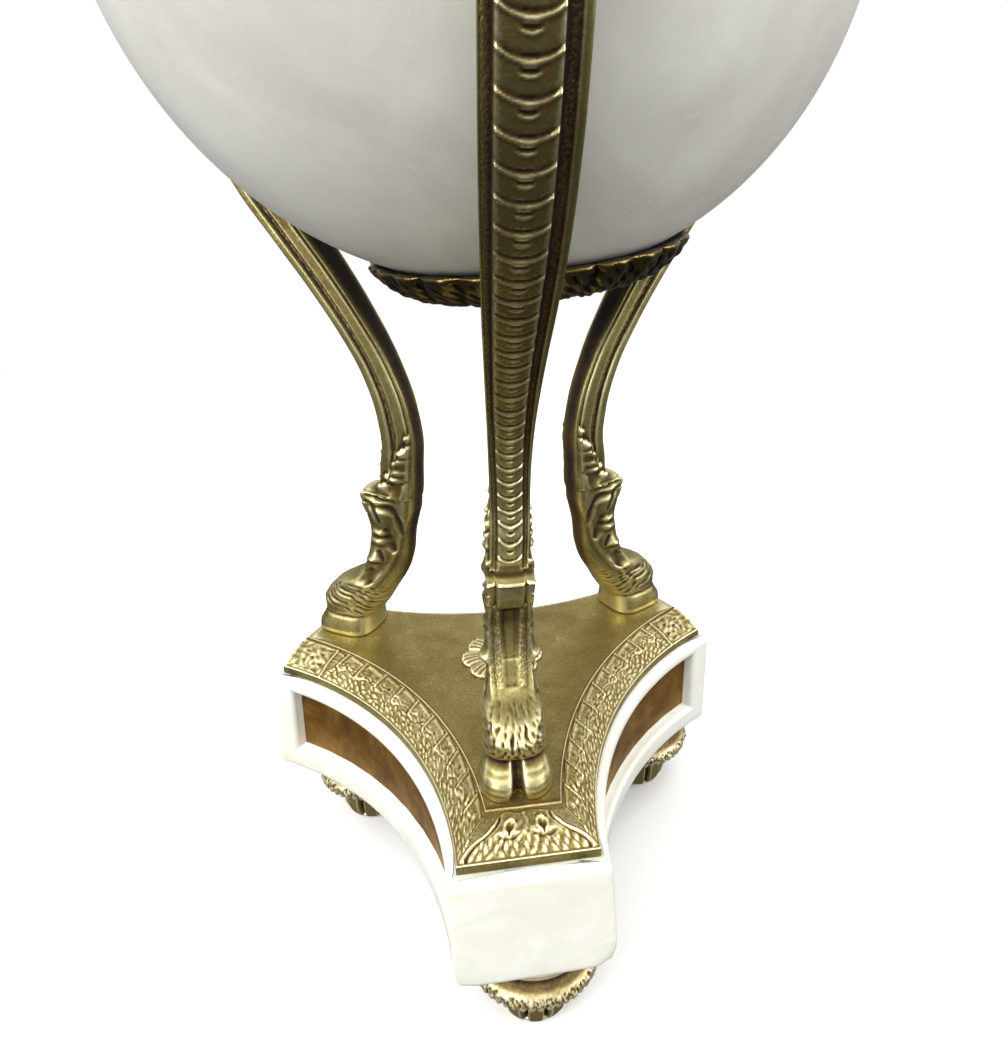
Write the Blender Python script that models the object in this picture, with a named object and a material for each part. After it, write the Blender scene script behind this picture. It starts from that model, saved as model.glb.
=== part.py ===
"""Perfume burner: a hollow marble bowl held by three gilt-bronze goat legs on a triangular marble plinth.

The bowl's axis is the Z axis, the floor is Z = 0 and the front leg stands toward -Y.
All sizes are in metres.
"""
import bmesh
import bpy
import math
import numpy as np
from mathutils import Matrix, Vector

GAP = 0.0003

# Plinth: a triangle with concave sides, set forward of the bowl's axis.
PLINTH_CENTRE_Y = -0.0116
FOOT_HEIGHT = 0.0288
PLINTH_HEIGHT = 0.0364
PLINTH_FACE_DISTANCE = 0.0765
SIDE_ARC_DISTANCE = 0.1527
PLATE_ARC_RADIUS = 0.1137
PLINTH_OVERHANG = 0.0026
PLINTH_EDGE_ROUNDING = 0.0030
PLINTH_BOTTOM = FOOT_HEIGHT
PLINTH_TOP = FOOT_HEIGHT + PLINTH_HEIGHT
SIDE_AZIMUTHS = {"panel_left": 210, "panel_right": 330, "panel_back": 90}
ARC_STEPS = 10

# Recess and panel in each concave side.
RECESS_DEPTH = 0.0054
RECESS_BOTTOM = PLINTH_BOTTOM + 0.0086
RECESS_TOP = PLINTH_TOP - 0.0052
RECESS_HALF_ANGLE = math.radians(26.0)
PANEL_THICKNESS = 0.0012

# Gilt-bronze plate on the plinth, with a sloping border along its two front sides and its front end.
PLATE_FACE_DISTANCE = 0.0734
PLATE_THICKNESS = 0.0055
PLATE_BOTTOM = PLINTH_TOP + GAP
PLATE_TOP = PLATE_BOTTOM + PLATE_THICKNESS
PLATE_EDGE_HEIGHT = 0.0025
BORDER_SIDES = (0, 2)
BORDER_WIDTH_FRONT = 0.0098
BORDER_WIDTH_CORNER = 0.0138
FRIEZE_LINE_Y = -0.0700
BORDER_SWELL_WIDTH = 0.55
BORDER_SWELL_HEIGHT = 0.80
ROSETTE_RADIUS = 0.0135
ROSETTE_Y = -0.0020
ROSETTE_HEIGHT = 0.0022
ROSETTE_LEAVES = 8

# Turned feet under the plinth's corners.
FOOT_DISTANCE = 0.0578
FOOT_SHIFT = 0.0032
FOOT_AZIMUTHS = {"foot_front": 270, "foot_right": 30, "foot_left": 150}
FOOT_LOBES = 10
FOOT_LOBE_DEPTH = 0.07
FOOT_PROFILE = (
    # radius, height above the floor, how much the lobes show
    (0.0000, 0.0000, 0.0),
    (0.0078, 0.0000, 0.0),
    (0.0092, 0.0012, 1.0),
    (0.0106, 0.0048, 1.0),
    (0.0110, 0.0090, 1.0),
    (0.0108, 0.0145, 1.0),
    (0.0104, 0.0162, 0.3),
    (0.0180, 0.0170, 0.0),
    (0.0188, 0.0195, 0.0),
    (0.0178, 0.0216, 0.0),
    (0.0160, 0.0232, 0.0),
    (0.0156, 0.0250, 0.0),
    (0.0168, 0.0266, 0.0),
    (0.0168, FOOT_HEIGHT - GAP, 0.0),
    (0.0000, FOOT_HEIGHT - GAP, 0.0),
)

# Legs: each row is a station of the casting, from the hoof's sole to the block under the ring.
LEG_AZIMUTHS = {"leg_front": 270, "leg_right": 30, "leg_left": 150}
LEG_STATIONS = (
    # distance from the axis, height above the plinth, half width, half depth, roundness, front relief, leaf
    (0.0605, 0.0061, 0.0092, 0.0097, 1.00, -0.0020, 0.0000),
    (0.0603, 0.0094, 0.0093, 0.0098, 1.00, -0.0020, 0.0000),
    (0.0597, 0.0120, 0.0080, 0.0091, 1.00, -0.0010, 0.0000),
    (0.0586, 0.0136, 0.0082, 0.0116, 1.00, 0.0000, 0.0000),
    (0.0567, 0.0183, 0.0083, 0.0122, 1.00, 0.0000, 0.0000),
    (0.0530, 0.0235, 0.0078, 0.0115, 0.95, 0.0000, 0.0000),
    (0.0469, 0.0288, 0.0068, 0.0088, 0.70, 0.0000, 0.0012),
    (0.0436, 0.0333, 0.0062, 0.0074, 0.30, -0.0006, 0.0026),
    (0.0416, 0.0392, 0.0059, 0.0070, 0.15, -0.0012, 0.0014),
    (0.0407, 0.0461, 0.0057, 0.0067, 0.15, -0.0013, 0.0030),
    (0.0407, 0.0521, 0.0057, 0.0082, 0.15, -0.0008, 0.0016),
    (0.0406, 0.0556, 0.0060, 0.0093, 0.20, 0.0006, 0.0028),
    (0.0401, 0.0583, 0.0060, 0.0092, 0.40, 0.0000, 0.0026),
    (0.0369, 0.0592, 0.0058, 0.0062, 0.00, 0.0008, 0.0018),
    (0.0358, 0.0704, 0.0058, 0.0058, 0.00, 0.0010, 0.0028),
    (0.0350, 0.0780, 0.0058, 0.0055, 0.00, 0.0010, 0.0012),
    (0.0363, 0.0892, 0.0060, 0.0053, 0.00, 0.0010, 0.0000),
    (0.0413, 0.1044, 0.0064, 0.0047, 0.00, 0.0011, 0.0000),
    (0.0494, 0.1189, 0.0073, 0.0045, 0.00, 0.0012, 0.0000),
    (0.0583, 0.1319, 0.0081, 0.0045, 0.00, 0.0012, 0.0000),
    (0.0677, 0.1443, 0.0089, 0.0045, 0.00, 0.0013, 0.0000),
    (0.0787, 0.1589, 0.0096, 0.0047, 0.00, 0.0014, 0.0000),
    (0.0851, 0.1697, 0.0100, 0.0047, 0.00, 0.0014, 0.0000),
    (0.0931, 0.1860, 0.0103, 0.0048, 0.00, 0.0014, 0.0000),
    (0.0988, 0.2023, 0.0103, 0.0049, 0.00, 0.0014, 0.0000),
    (0.1028, 0.2186, 0.0103, 0.0049, 0.00, 0.0014, 0.0000),
    (0.1040, 0.2316, 0.0103, 0.0049, 0.00, 0.0014, 0.0000),
)
LEG_UPRIGHT_BELOW = 0.0610
LEG_INSET = {"leg_front": 0.0, "leg_right": 0.0018, "leg_left": 0.0018}
LEG_INSET_FADE = 0.1900
LEG_BACK_TAPER = 0.74
LEG_BLOCK_HALF_WIDTH = 0.0110
LEG_BLOCK_INNER = 0.0990
LEG_BLOCK_OUTER = 0.1104
LEG_BLOCK_BOTTOM = 0.2360
LEG_BLOCK_TOP = 0.2470
LEG_STRIP_SHARE = 0.58
LEG_SIDE_GROOVE = 0.0011

# Bowl, part of an ellipsoid, open at the top.
BOWL_RADIUS = 0.0986
BOWL_HALF_HEIGHT = 0.1001
BOWL_CENTRE_Z = PLINTH_TOP + 0.2355
BOWL_RIM_Z = PLINTH_TOP + LEG_BLOCK_TOP
BOWL_WALL = 0.0078
BOWL_SEGMENTS = 32
BOWL_OUTER_STEPS = 11
BOWL_INNER_STEPS = 7

# Leaf collar under the bowl, which sits a little askew on it.
CALYX_TILT = math.radians(-6.5)
CALYX_SEGMENTS = 32
CALYX_LEAVES = 16
CALYX_LEAF_DEPTH = 0.015
CALYX_SEAT = 0.0008
CALYX_PROFILE = (
    # degrees from straight down, thickness below the bowl
    (0.0, 0.0030),
    (12.0, 0.0034),
    (17.5, 0.0050),
    (21.0, 0.0056),
    (24.5, 0.0044),
    (26.8, 0.0014),
)

# Ring on the bowl's rim.
RING_INNER = 0.0880
RING_OUTER = 0.1120
RING_HEIGHT = 0.0130
RING_BOTTOM = BOWL_RIM_Z + GAP
RING_SEGMENTS = 36
RING_OPENINGS = 12
RING_OPENING_SIZE = (0.0300, 0.0150, 0.0028)
RING_LEDGE = 0.0080

# Domed lid that rests inside the ring, and its bud.
LID_RADIUS = 0.0925
LID_RISE = 0.0400
LID_WALL = 0.0070
LID_BOTTOM = RING_BOTTOM + RING_LEDGE + GAP
LID_SEGMENTS = 32
LID_STEPS = 6
LID_SEAT_RADIUS = 0.0130
LID_EDGE_HEIGHT = 0.0040
FINIAL_SEGMENTS = 16
FINIAL_PROFILE = (
    # radius, height above the lid's crown
    (0.0000, 0.0000),
    (0.0120, 0.0000),
    (0.0122, 0.0018),
    (0.0070, 0.0034),
    (0.0045, 0.0060),
    (0.0085, 0.0092),
    (0.0112, 0.0136),
    (0.0106, 0.0185),
    (0.0072, 0.0236),
    (0.0030, 0.0272),
    (0.0000, 0.0285),
)

MARBLE = ("white_marble", (0.86, 0.84, 0.78), 0.35, 0.0)
GILT = ("gilt_bronze", (0.60, 0.50, 0.26), 0.36, 1.0)
DARK_GILT = ("dark_gilt_bronze", (0.26, 0.18, 0.08), 0.45, 1.0)
PANEL_GILT = ("brown_gilt_bronze", (0.42, 0.26, 0.09), 0.34, 1.0)


def material(recipe):
    """A Principled material from its name, colour, roughness and metallic value."""
    name, colour, roughness, metallic = recipe
    found = bpy.data.materials.get(name)
    if found:
        return found
    made = bpy.data.materials.new(name)
    made.use_nodes = True
    shader = made.node_tree.nodes["Principled BSDF"]
    shader.inputs["Base Color"].default_value = (*colour, 1.0)
    shader.inputs["Roughness"].default_value = roughness
    shader.inputs["Metallic"].default_value = metallic
    made.diffuse_color = (*colour, 1.0)
    return made


def add_object(name, bm, recipe, smooth=False):
    """Turn a finished bmesh into a named object with one material."""
    bmesh.ops.remove_doubles(bm, verts=bm.verts, dist=1e-6)
    bmesh.ops.recalc_face_normals(bm, faces=bm.faces)
    for face in bm.faces:
        face.smooth = smooth
    mesh = bpy.data.meshes.new(name)
    bm.to_mesh(mesh)
    bm.free()
    mesh.materials.append(material(recipe))
    made = bpy.data.objects.new(name, mesh)
    bpy.context.scene.collection.objects.link(made)
    return made


def lathe(profile, steps):
    """Turn a profile of (radius, height) points about Z into a closed body."""
    bm = bmesh.new()
    verts = [bm.verts.new((radius, 0.0, height)) for radius, height in profile]
    edges = [bm.edges.new(pair) for pair in zip(verts[:-1], verts[1:])]
    bmesh.ops.spin(bm, geom=verts + edges, cent=(0, 0, 0), axis=(0, 0, 1), angle=math.tau, steps=steps)
    bmesh.ops.remove_doubles(bm, verts=bm.verts, dist=1e-6)
    return bm


def apply_boolean(target, tool, operation):
    """Apply one exact Boolean and drop the tool."""
    step = target.modifiers.new(operation, "BOOLEAN")
    step.object = tool
    step.operation = operation
    step.solver = "EXACT"
    bpy.context.view_layer.objects.active = target
    bpy.ops.object.modifier_apply(modifier=step.name)
    bpy.data.objects.remove(tool, do_unlink=True)


def plinth_outline(face_distance, arc_radius):
    """Points of the triangle with concave sides, counter-clockwise, about the plinth's own centre."""
    centre_x = SIDE_ARC_DISTANCE * math.cos(math.radians(30))
    centre_y = -SIDE_ARC_DISTANCE * math.sin(math.radians(30))
    reach = math.sqrt(arc_radius ** 2 - (face_distance + centre_y) ** 2)
    start = Vector((centre_x - reach, -face_distance))
    first = math.atan2(start.y - centre_y, start.x - centre_x)
    middle = math.radians(150)
    first = first % math.tau
    half = first - middle
    points = []
    for turn in (0, 120, 240):
        spin = Matrix.Rotation(math.radians(turn), 2)
        for step in range(ARC_STEPS + 1):
            angle = middle + half - 2 * half * step / ARC_STEPS
            point = Vector((centre_x + arc_radius * math.cos(angle), centre_y + arc_radius * math.sin(angle)))
            points.append(spin @ point)
    return points


def prism(points, bottom, top):
    """Upright prism over a plan outline given about the plinth's centre."""
    bm = bmesh.new()
    ring = [bm.verts.new((p.x, p.y + PLINTH_CENTRE_Y, bottom)) for p in points]
    face = bm.faces.new(ring)
    grown = bmesh.ops.extrude_face_region(bm, geom=[face])
    lifted = [item for item in grown["geom"] if isinstance(item, bmesh.types.BMVert)]
    bmesh.ops.translate(bm, verts=lifted, vec=(0, 0, top - bottom))
    return bm


def curved_slab(azimuth, near_radius, far_radius, half_angle, bottom, top, steps=ARC_STEPS):
    """Slab bent round the arc centre of one concave side, between two radii."""
    turn = math.radians(azimuth)
    centre = Vector((math.cos(turn), math.sin(turn))) * SIDE_ARC_DISTANCE
    inward = turn + math.pi
    angles = [inward + half_angle * (2 * step / steps - 1) for step in range(steps + 1)]
    near = [centre + Vector((math.cos(a), math.sin(a))) * near_radius for a in angles]
    far = [centre + Vector((math.cos(a), math.sin(a))) * far_radius for a in reversed(angles)]
    return prism(near + far, bottom, top)


def make_plinth():
    """Marble block with rounded edges and a recess in each concave side."""
    outline = plinth_outline(PLINTH_FACE_DISTANCE, PLATE_ARC_RADIUS - PLINTH_OVERHANG)
    bm = prism(outline, PLINTH_BOTTOM, PLINTH_TOP)
    corner_edges = [
        edge for edge in bm.edges
        if abs(edge.verts[0].co.z - edge.verts[1].co.z) > PLINTH_HEIGHT / 2
        and edge.calc_face_angle() > math.radians(30)
    ]
    rim_edges = [edge for edge in bm.edges if abs(edge.verts[0].co.z - edge.verts[1].co.z) < 1e-6]
    bmesh.ops.bevel(bm, geom=corner_edges + rim_edges, offset=PLINTH_EDGE_ROUNDING, segments=2,
                    profile=0.5, affect="EDGES")
    plinth = add_object("marble_plinth", bm, MARBLE)
    surface = PLATE_ARC_RADIUS - PLINTH_OVERHANG
    for name, azimuth in SIDE_AZIMUTHS.items():
        cutter = add_object(name + "_recess", curved_slab(
            azimuth, surface - 0.010, surface + RECESS_DEPTH, RECESS_HALF_ANGLE,
            RECESS_BOTTOM, RECESS_TOP), MARBLE)
        apply_boolean(plinth, cutter, "DIFFERENCE")
        near = surface + RECESS_DEPTH - GAP - PANEL_THICKNESS
        add_object(name, curved_slab(
            azimuth, near, near + PANEL_THICKNESS, RECESS_HALF_ANGLE - GAP / near,
            RECESS_BOTTOM + GAP, RECESS_TOP - GAP), PANEL_GILT)


def border_line():
    """Inner line of the sloping border about the plinth's own centre, point for point with the plate's outline."""
    outline = plinth_outline(PLATE_FACE_DISTANCE, PLATE_ARC_RADIUS)
    line = list(outline)
    for side in BORDER_SIDES:
        mirror = -1 if side == 2 else 1
        centre = Vector((SIDE_ARC_DISTANCE * math.cos(math.radians(30)),
                         -SIDE_ARC_DISTANCE * math.sin(math.radians(30))))
        near = PLATE_ARC_RADIUS + BORDER_WIDTH_FRONT
        far = PLATE_ARC_RADIUS + BORDER_WIDTH_CORNER
        front_y = FRIEZE_LINE_Y - PLINTH_CENTRE_Y
        start = math.atan2(front_y - centre.y, -math.sqrt(near ** 2 - (front_y - centre.y) ** 2))
        corner = math.radians(30)
        inward = corner + math.pi
        offset = centre.x * math.cos(inward) + centre.y * math.sin(inward) + PLATE_FACE_DISTANCE
        end = inward - math.acos(-offset / far)
        for step in range(ARC_STEPS + 1):
            share = step / ARC_STEPS
            angle = start + (end - start) * share
            radius = near + (far - near) * share
            point = centre + Vector((math.cos(angle), math.sin(angle))) * radius
            point.x *= mirror
            index = step if side == 0 else 2 * (ARC_STEPS + 1) + ARC_STEPS - step
            line[index] = point
    return outline, line


def make_plate():
    """Plate with an upright edge and a swelling border that rises to the flat field."""
    outline, line = border_line()
    edge = PLATE_BOTTOM + PLATE_EDGE_HEIGHT
    rings = [
        (outline, [0.0] * len(line), PLATE_BOTTOM),
        (outline, [0.0] * len(line), edge),
        (outline, [BORDER_SWELL_WIDTH] * len(line), edge + (PLATE_TOP - edge) * BORDER_SWELL_HEIGHT),
        (outline, [1.0] * len(line), PLATE_TOP),
    ]
    bm = bmesh.new()
    made = []
    for start, shares, height in rings:
        ring = []
        for outer, inner, share in zip(start, line, shares):
            point = outer.lerp(inner, share)
            ring.append(bm.verts.new((point.x, point.y + PLINTH_CENTRE_Y, height)))
        made.append(ring)
    count = len(line)
    for low, high in zip(made[:-1], made[1:]):
        for step in range(count):
            after = (step + 1) % count
            bm.faces.new((low[step], low[after], high[after], high[step]))
    bm.faces.new(list(reversed(made[0])))
    bm.faces.new(made[-1])
    add_object("base_plate", bm, GILT)


def make_rosette():
    """Low rosette of leaves lying on the plate."""
    bm = bmesh.new()
    count = ROSETTE_LEAVES * 4
    rings = []
    for share, lift in ((1.0, 0.0), (1.0, 0.35), (0.55, 1.0), (0.18, 0.7)):
        ring = []
        for step in range(count):
            wave = 0.5 + 0.5 * math.cos(math.tau * step / 4)
            radius = ROSETTE_RADIUS * share * (1.0 - 0.16 * (1.0 - wave) * share)
            angle = math.tau * step / count
            ring.append(bm.verts.new((
                radius * math.cos(angle),
                ROSETTE_Y + radius * math.sin(angle),
                PLATE_TOP + GAP + ROSETTE_HEIGHT * lift)))
        rings.append(ring)
    bm.faces.new(list(reversed(rings[0])))
    for low, high in zip(rings[:-1], rings[1:]):
        for step in range(count):
            after = (step + 1) % count
            bm.faces.new((low[step], low[after], high[after], high[step]))
    bm.faces.new(rings[-1])
    add_object("plate_rosette", bm, GILT)


def make_foot(name, azimuth):
    """Turned foot with a ring and a lobed body."""
    bm = lathe([(radius, height) for radius, height, _ in FOOT_PROFILE], FOOT_LOBES * 2)
    show = {round(height, 6): lobes for _, height, lobes in FOOT_PROFILE}
    for vert in bm.verts:
        lobes = show.get(round(vert.co.z, 6), 0.0)
        angle = math.atan2(vert.co.y, vert.co.x)
        scale = 1.0 + FOOT_LOBE_DEPTH * lobes * math.cos(FOOT_LOBES * angle)
        vert.co.x *= scale
        vert.co.y *= scale
    foot = add_object(name, bm, GILT, smooth=True)
    turn = math.radians(azimuth)
    foot.location = (FOOT_SHIFT + FOOT_DISTANCE * math.cos(turn), PLINTH_CENTRE_Y + FOOT_DISTANCE * math.sin(turn), 0.0)
    foot.rotation_euler.z = turn


def leg_section(half_width, half_depth, roundness, relief, leaf):
    """Half outline of a leg across its length: (sideways, outward) points from front to back."""
    strip = half_width * LEG_STRIP_SHARE
    groove = min(abs(relief), 0.0009) if roundness < 0.5 else 0.0
    bar = [
        (strip, half_depth + relief),
        (strip + 0.0005, half_depth - groove),
        (half_width - 0.0012, half_depth - groove),
        (half_width, half_depth),
        (half_width, half_depth * 0.30),
        (half_width - LEG_SIDE_GROOVE + leaf, 0.0),
        (half_width + leaf, -half_depth * 0.30),
        (half_width + leaf * 0.6, -half_depth - leaf * 0.4),
    ]
    round_angles = (84, 66, 46, 26, 4, -18, -42, -66)
    rounded = []
    for index, angle in enumerate(round_angles):
        turn = math.radians(angle)
        side = half_width * math.copysign(abs(math.cos(turn)) ** 0.75, math.cos(turn))
        out = half_depth * math.copysign(abs(math.sin(turn)) ** 0.8, math.sin(turn))
        if index == 0:
            out += relief
        rounded.append((side, out))
    bar = [(side * (1 - (1 - LEG_BACK_TAPER) * (half_depth - out) / (2 * half_depth)), out) for side, out in bar]
    return [
        (a * (1 - roundness) + c * roundness, b * (1 - roundness) + d * roundness)
        for (a, b), (c, d) in zip(bar, rounded)
    ]


def make_leg(name, azimuth):
    """One leg: sections placed along its curve and joined, closed at the sole and the top block."""
    stations = np.array(LEG_STATIONS)
    stations[:, 0] -= LEG_INSET[name] * np.clip(1 - stations[:, 1] / LEG_INSET_FADE, 0, 1)
    path = stations[:, :2]
    tangents = np.gradient(path, axis=0)
    tangents[path[:, 1] < LEG_UPRIGHT_BELOW] = (0.0, 1.0)
    tangents /= np.linalg.norm(tangents, axis=1)[:, None]
    bm = bmesh.new()
    rings = []
    for (reach, height, *shape), tangent in zip(stations, tangents):
        outward = np.array((tangent[1], -tangent[0]))
        half = leg_section(*shape)
        loop = half + [(-side, out) for side, out in reversed(half)]
        ring = []
        for side, out in loop:
            place = np.array((reach, height)) + outward * out
            ring.append(bm.verts.new((place[0], side, PLINTH_TOP + place[1])))
        rings.append(ring)
    block = []
    for height in (LEG_BLOCK_BOTTOM + 0.0030, LEG_BLOCK_TOP):
        ring = []
        for side, out in leg_section(LEG_BLOCK_HALF_WIDTH, 0.0056, 0.0, 0.0, 0.0):
            ring.append((side, out))
        loop = ring + [(-side, out) for side, out in reversed(ring)]
        middle = (LEG_BLOCK_INNER + LEG_BLOCK_OUTER) / 2
        block.append([bm.verts.new((middle + out, side, PLINTH_TOP + height)) for side, out in loop])
    rings += block
    count = len(rings[0])
    for low, high in zip(rings[:-1], rings[1:]):
        for step in range(count):
            after = (step + 1) % count
            bm.faces.new((low[step], low[after], high[after], high[step]))
    bm.faces.new(list(reversed(rings[0])))
    bm.faces.new(rings[-1])
    leg = add_object(name, bm, GILT)
    leg.rotation_euler.z = math.radians(azimuth)


def ellipse_profile(radius, half_height, centre_z, low_z, high_z, steps):
    """Points on an upright ellipse from the axis side at low_z up to high_z."""
    start = math.asin(max(-1.0, (low_z - centre_z) / half_height))
    end = math.asin(min(1.0, (high_z - centre_z) / half_height))
    points = []
    for step in range(steps + 1):
        angle = start + (end - start) * step / steps
        points.append((max(0.0, radius * math.cos(angle)), centre_z + half_height * math.sin(angle)))
    return points


def bowl_outside():
    """Profile of the bowl's outer face, from its lowest point to the rim."""
    points = ellipse_profile(BOWL_RADIUS, BOWL_HALF_HEIGHT, BOWL_CENTRE_Z,
                             BOWL_CENTRE_Z - BOWL_HALF_HEIGHT, BOWL_RIM_Z, BOWL_OUTER_STEPS)
    return [(0.0, points[0][1])] + points[1:]


def make_bowl():
    """Hollow marble bowl with an even wall, open at the top."""
    outer = bowl_outside()
    inner = ellipse_profile(BOWL_RADIUS - BOWL_WALL, BOWL_HALF_HEIGHT - BOWL_WALL, BOWL_CENTRE_Z,
                            BOWL_CENTRE_Z - BOWL_HALF_HEIGHT + BOWL_WALL, BOWL_RIM_Z, BOWL_INNER_STEPS)
    inner[0] = (0.0, inner[0][1])
    add_object("bowl", lathe(outer + inner[::-1], BOWL_SEGMENTS), MARBLE, smooth=True)


def make_calyx():
    """Leaf cup under the bowl, made about the bowl's centre and turned a little askew."""
    inner = []
    outer = []
    for degrees, thickness in CALYX_PROFILE:
        angle = math.radians(degrees)
        for points, distance in ((inner, CALYX_SEAT), (outer, CALYX_SEAT + thickness)):
            reach = BOWL_HALF_HEIGHT + distance
            points.append((reach * math.sin(angle), -reach * math.cos(angle)))
    bm = lathe(outer + inner[::-1], CALYX_SEGMENTS)
    lip = inner[-1][0]
    for vert in bm.verts:
        radius = math.hypot(vert.co.x, vert.co.y)
        if radius > lip * 1.001:
            wave = 1.0 + CALYX_LEAF_DEPTH * math.cos(CALYX_LEAVES * math.atan2(vert.co.y, vert.co.x))
            vert.co.x *= wave
            vert.co.y *= wave
    calyx = add_object("calyx", bm, DARK_GILT, smooth=True)
    calyx.location.z = BOWL_CENTRE_Z
    calyx.rotation_euler.y = CALYX_TILT


def make_ring():
    """Moulded ring on the rim, pierced so that the scent can rise."""
    low = RING_BOTTOM
    high = RING_BOTTOM + RING_HEIGHT
    profile = [
        (RING_INNER, low),
        (RING_OUTER - 0.0016, low),
        (RING_OUTER, low + 0.0012),
        (RING_OUTER, low + 0.0026),
        (RING_OUTER - 0.0056, low + 0.0040),
        (RING_OUTER - 0.0066, high - 0.0036),
        (RING_OUTER - 0.0036, high - 0.0024),
        (RING_OUTER - 0.0036, high),
        (RING_OUTER - 0.0120, high),
        (RING_OUTER - 0.0120, low + RING_LEDGE),
        (RING_INNER, low + RING_LEDGE),
        (RING_INNER, low),
    ]
    ring = add_object("gallery_ring", lathe(profile, RING_SEGMENTS), GILT, smooth=True)
    cutter = bmesh.new()
    for index in range(RING_OPENINGS):
        turn = Matrix.Rotation(math.tau * (index + 0.5) / RING_OPENINGS, 4, "Z")
        shift = Matrix.Translation((RING_OUTER - 0.0090, 0.0, low + 0.0064))
        size = Matrix.Diagonal((*RING_OPENING_SIZE, 1.0))
        bmesh.ops.create_cube(cutter, size=1.0, matrix=turn @ shift @ size)
    apply_boolean(ring, add_object("openings", cutter, GILT), "DIFFERENCE")


def make_lid():
    """Hollow marble dome with a flat seat for the bud."""
    crown = LID_BOTTOM + LID_RISE
    outer = [(LID_RADIUS, LID_BOTTOM), (LID_RADIUS, LID_BOTTOM + LID_EDGE_HEIGHT)]
    inner = [(LID_RADIUS - LID_WALL, LID_BOTTOM)]
    for step in range(1, LID_STEPS + 1):
        angle = math.pi / 2 * step / LID_STEPS
        radius = LID_SEAT_RADIUS + (LID_RADIUS - 0.0030 - LID_SEAT_RADIUS) * math.cos(angle)
        outer.append((radius, LID_BOTTOM + LID_EDGE_HEIGHT + (LID_RISE - LID_EDGE_HEIGHT) * math.sin(angle)))
    for step in range(1, LID_STEPS):
        angle = math.pi / 2 * step / (LID_STEPS - 1)
        radius = (LID_RADIUS - LID_WALL) * math.cos(angle)
        inner.append((max(0.0, radius), LID_BOTTOM + (LID_RISE - LID_WALL) * math.sin(angle)))
    inner[-1] = (0.0, inner[-1][1])
    outer.append((0.0, crown))
    add_object("lid", lathe(list(reversed(outer)) + inner, LID_SEGMENTS), MARBLE, smooth=True)
    bud = lathe([(radius, crown + GAP + height) for radius, height in FINIAL_PROFILE], FINIAL_SEGMENTS)
    add_object("finial", bud, GILT, smooth=True)


for leftover in list(bpy.data.objects):
    bpy.data.objects.remove(leftover, do_unlink=True)

make_plinth()
make_plate()
make_rosette()
for foot_name, foot_azimuth in FOOT_AZIMUTHS.items():
    make_foot(foot_name, foot_azimuth)
for leg_name, leg_azimuth in LEG_AZIMUTHS.items():
    make_leg(leg_name, leg_azimuth)
make_bowl()
make_calyx()
make_ring()
make_lid()
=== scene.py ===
"""Perfume burner: a white marble bowl on three gilt-bronze goat legs, over a triangular marble plinth."""
import bpy
import math
import numpy as np
from mathutils import Matrix, Vector


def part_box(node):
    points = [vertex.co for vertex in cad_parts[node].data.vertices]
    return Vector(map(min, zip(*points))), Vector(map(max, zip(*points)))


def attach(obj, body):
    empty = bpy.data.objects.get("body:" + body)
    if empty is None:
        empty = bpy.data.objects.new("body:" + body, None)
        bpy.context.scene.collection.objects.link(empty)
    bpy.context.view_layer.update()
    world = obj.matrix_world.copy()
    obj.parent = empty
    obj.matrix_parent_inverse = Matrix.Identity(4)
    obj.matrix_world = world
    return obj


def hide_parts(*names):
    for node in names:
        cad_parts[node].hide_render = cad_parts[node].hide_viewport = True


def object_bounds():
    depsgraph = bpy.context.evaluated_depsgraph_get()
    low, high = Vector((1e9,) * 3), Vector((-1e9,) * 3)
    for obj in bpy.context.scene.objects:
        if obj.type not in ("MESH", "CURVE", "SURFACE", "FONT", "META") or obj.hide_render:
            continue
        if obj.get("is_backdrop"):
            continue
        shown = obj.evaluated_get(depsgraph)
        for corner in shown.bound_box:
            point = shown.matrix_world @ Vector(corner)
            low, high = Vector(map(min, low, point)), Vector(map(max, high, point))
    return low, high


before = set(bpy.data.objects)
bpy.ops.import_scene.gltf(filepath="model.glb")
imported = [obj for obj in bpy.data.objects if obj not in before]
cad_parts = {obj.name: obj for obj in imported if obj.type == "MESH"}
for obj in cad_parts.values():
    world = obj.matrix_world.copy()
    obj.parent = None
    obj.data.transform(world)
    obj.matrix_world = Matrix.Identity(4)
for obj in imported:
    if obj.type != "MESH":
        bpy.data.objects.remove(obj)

cad_box = [list(corner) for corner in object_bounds()]
bpy.ops.object.select_all(action="DESELECT")
MM = 0.001
TAU = math.tau


# Marble plinth: one block of white statuary marble, a triangle with three hollowed sides and cut-off
# points. Each hollowed side is sunk inside a raised frame with soft, hand-rubbed edges.
plinth_low, plinth_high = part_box("marble_plinth")
PLINTH_CENTRE = (0.0, -0.0116)
PLINTH_CUT_DISTANCE = 0.0765
SIDE_ARC_DISTANCE = 0.1527
PLATE_ARC_RADIUS = 0.1137
PLINTH_ARC_RADIUS = 0.1111
PLINTH_SOFTNESS = 0.0011
PLINTH_ROUNDING = 0.0026
FRAME_BOTTOM = 0.0086
FRAME_TOP = 0.0052
FRAME_HALF_ANGLE = math.radians(26.0)
FRONT_LEAN = 0.0019
FRONT_SPREAD = 0.0011
FRAME_BULLNOSE = 0.0018
RECESS_FLOOR = 0.0052
PLAN_STEP = 0.0006
WORN_CORNER = 0.0042


def linear(code):
    """An sRGB hex colour as linear red, green, blue and alpha."""
    parts = [int(code[place:place + 2], 16) / 255 for place in (0, 2, 4)]
    return [part / 12.92 if part <= 0.04045 else ((part + 0.055) / 1.055) ** 2.4 for part in parts] + [1.0]


def connect(tree, target, inputs):
    """Set a node's inputs, each to a number, a colour, a node's output, or a node for its first output."""
    for key, value in inputs.items():
        if isinstance(value, bpy.types.Node):
            value = value.outputs[0]
        if isinstance(value, bpy.types.NodeSocket):
            tree.links.new(value, target.inputs[key])
        else:
            target.inputs[key].default_value = value


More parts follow.
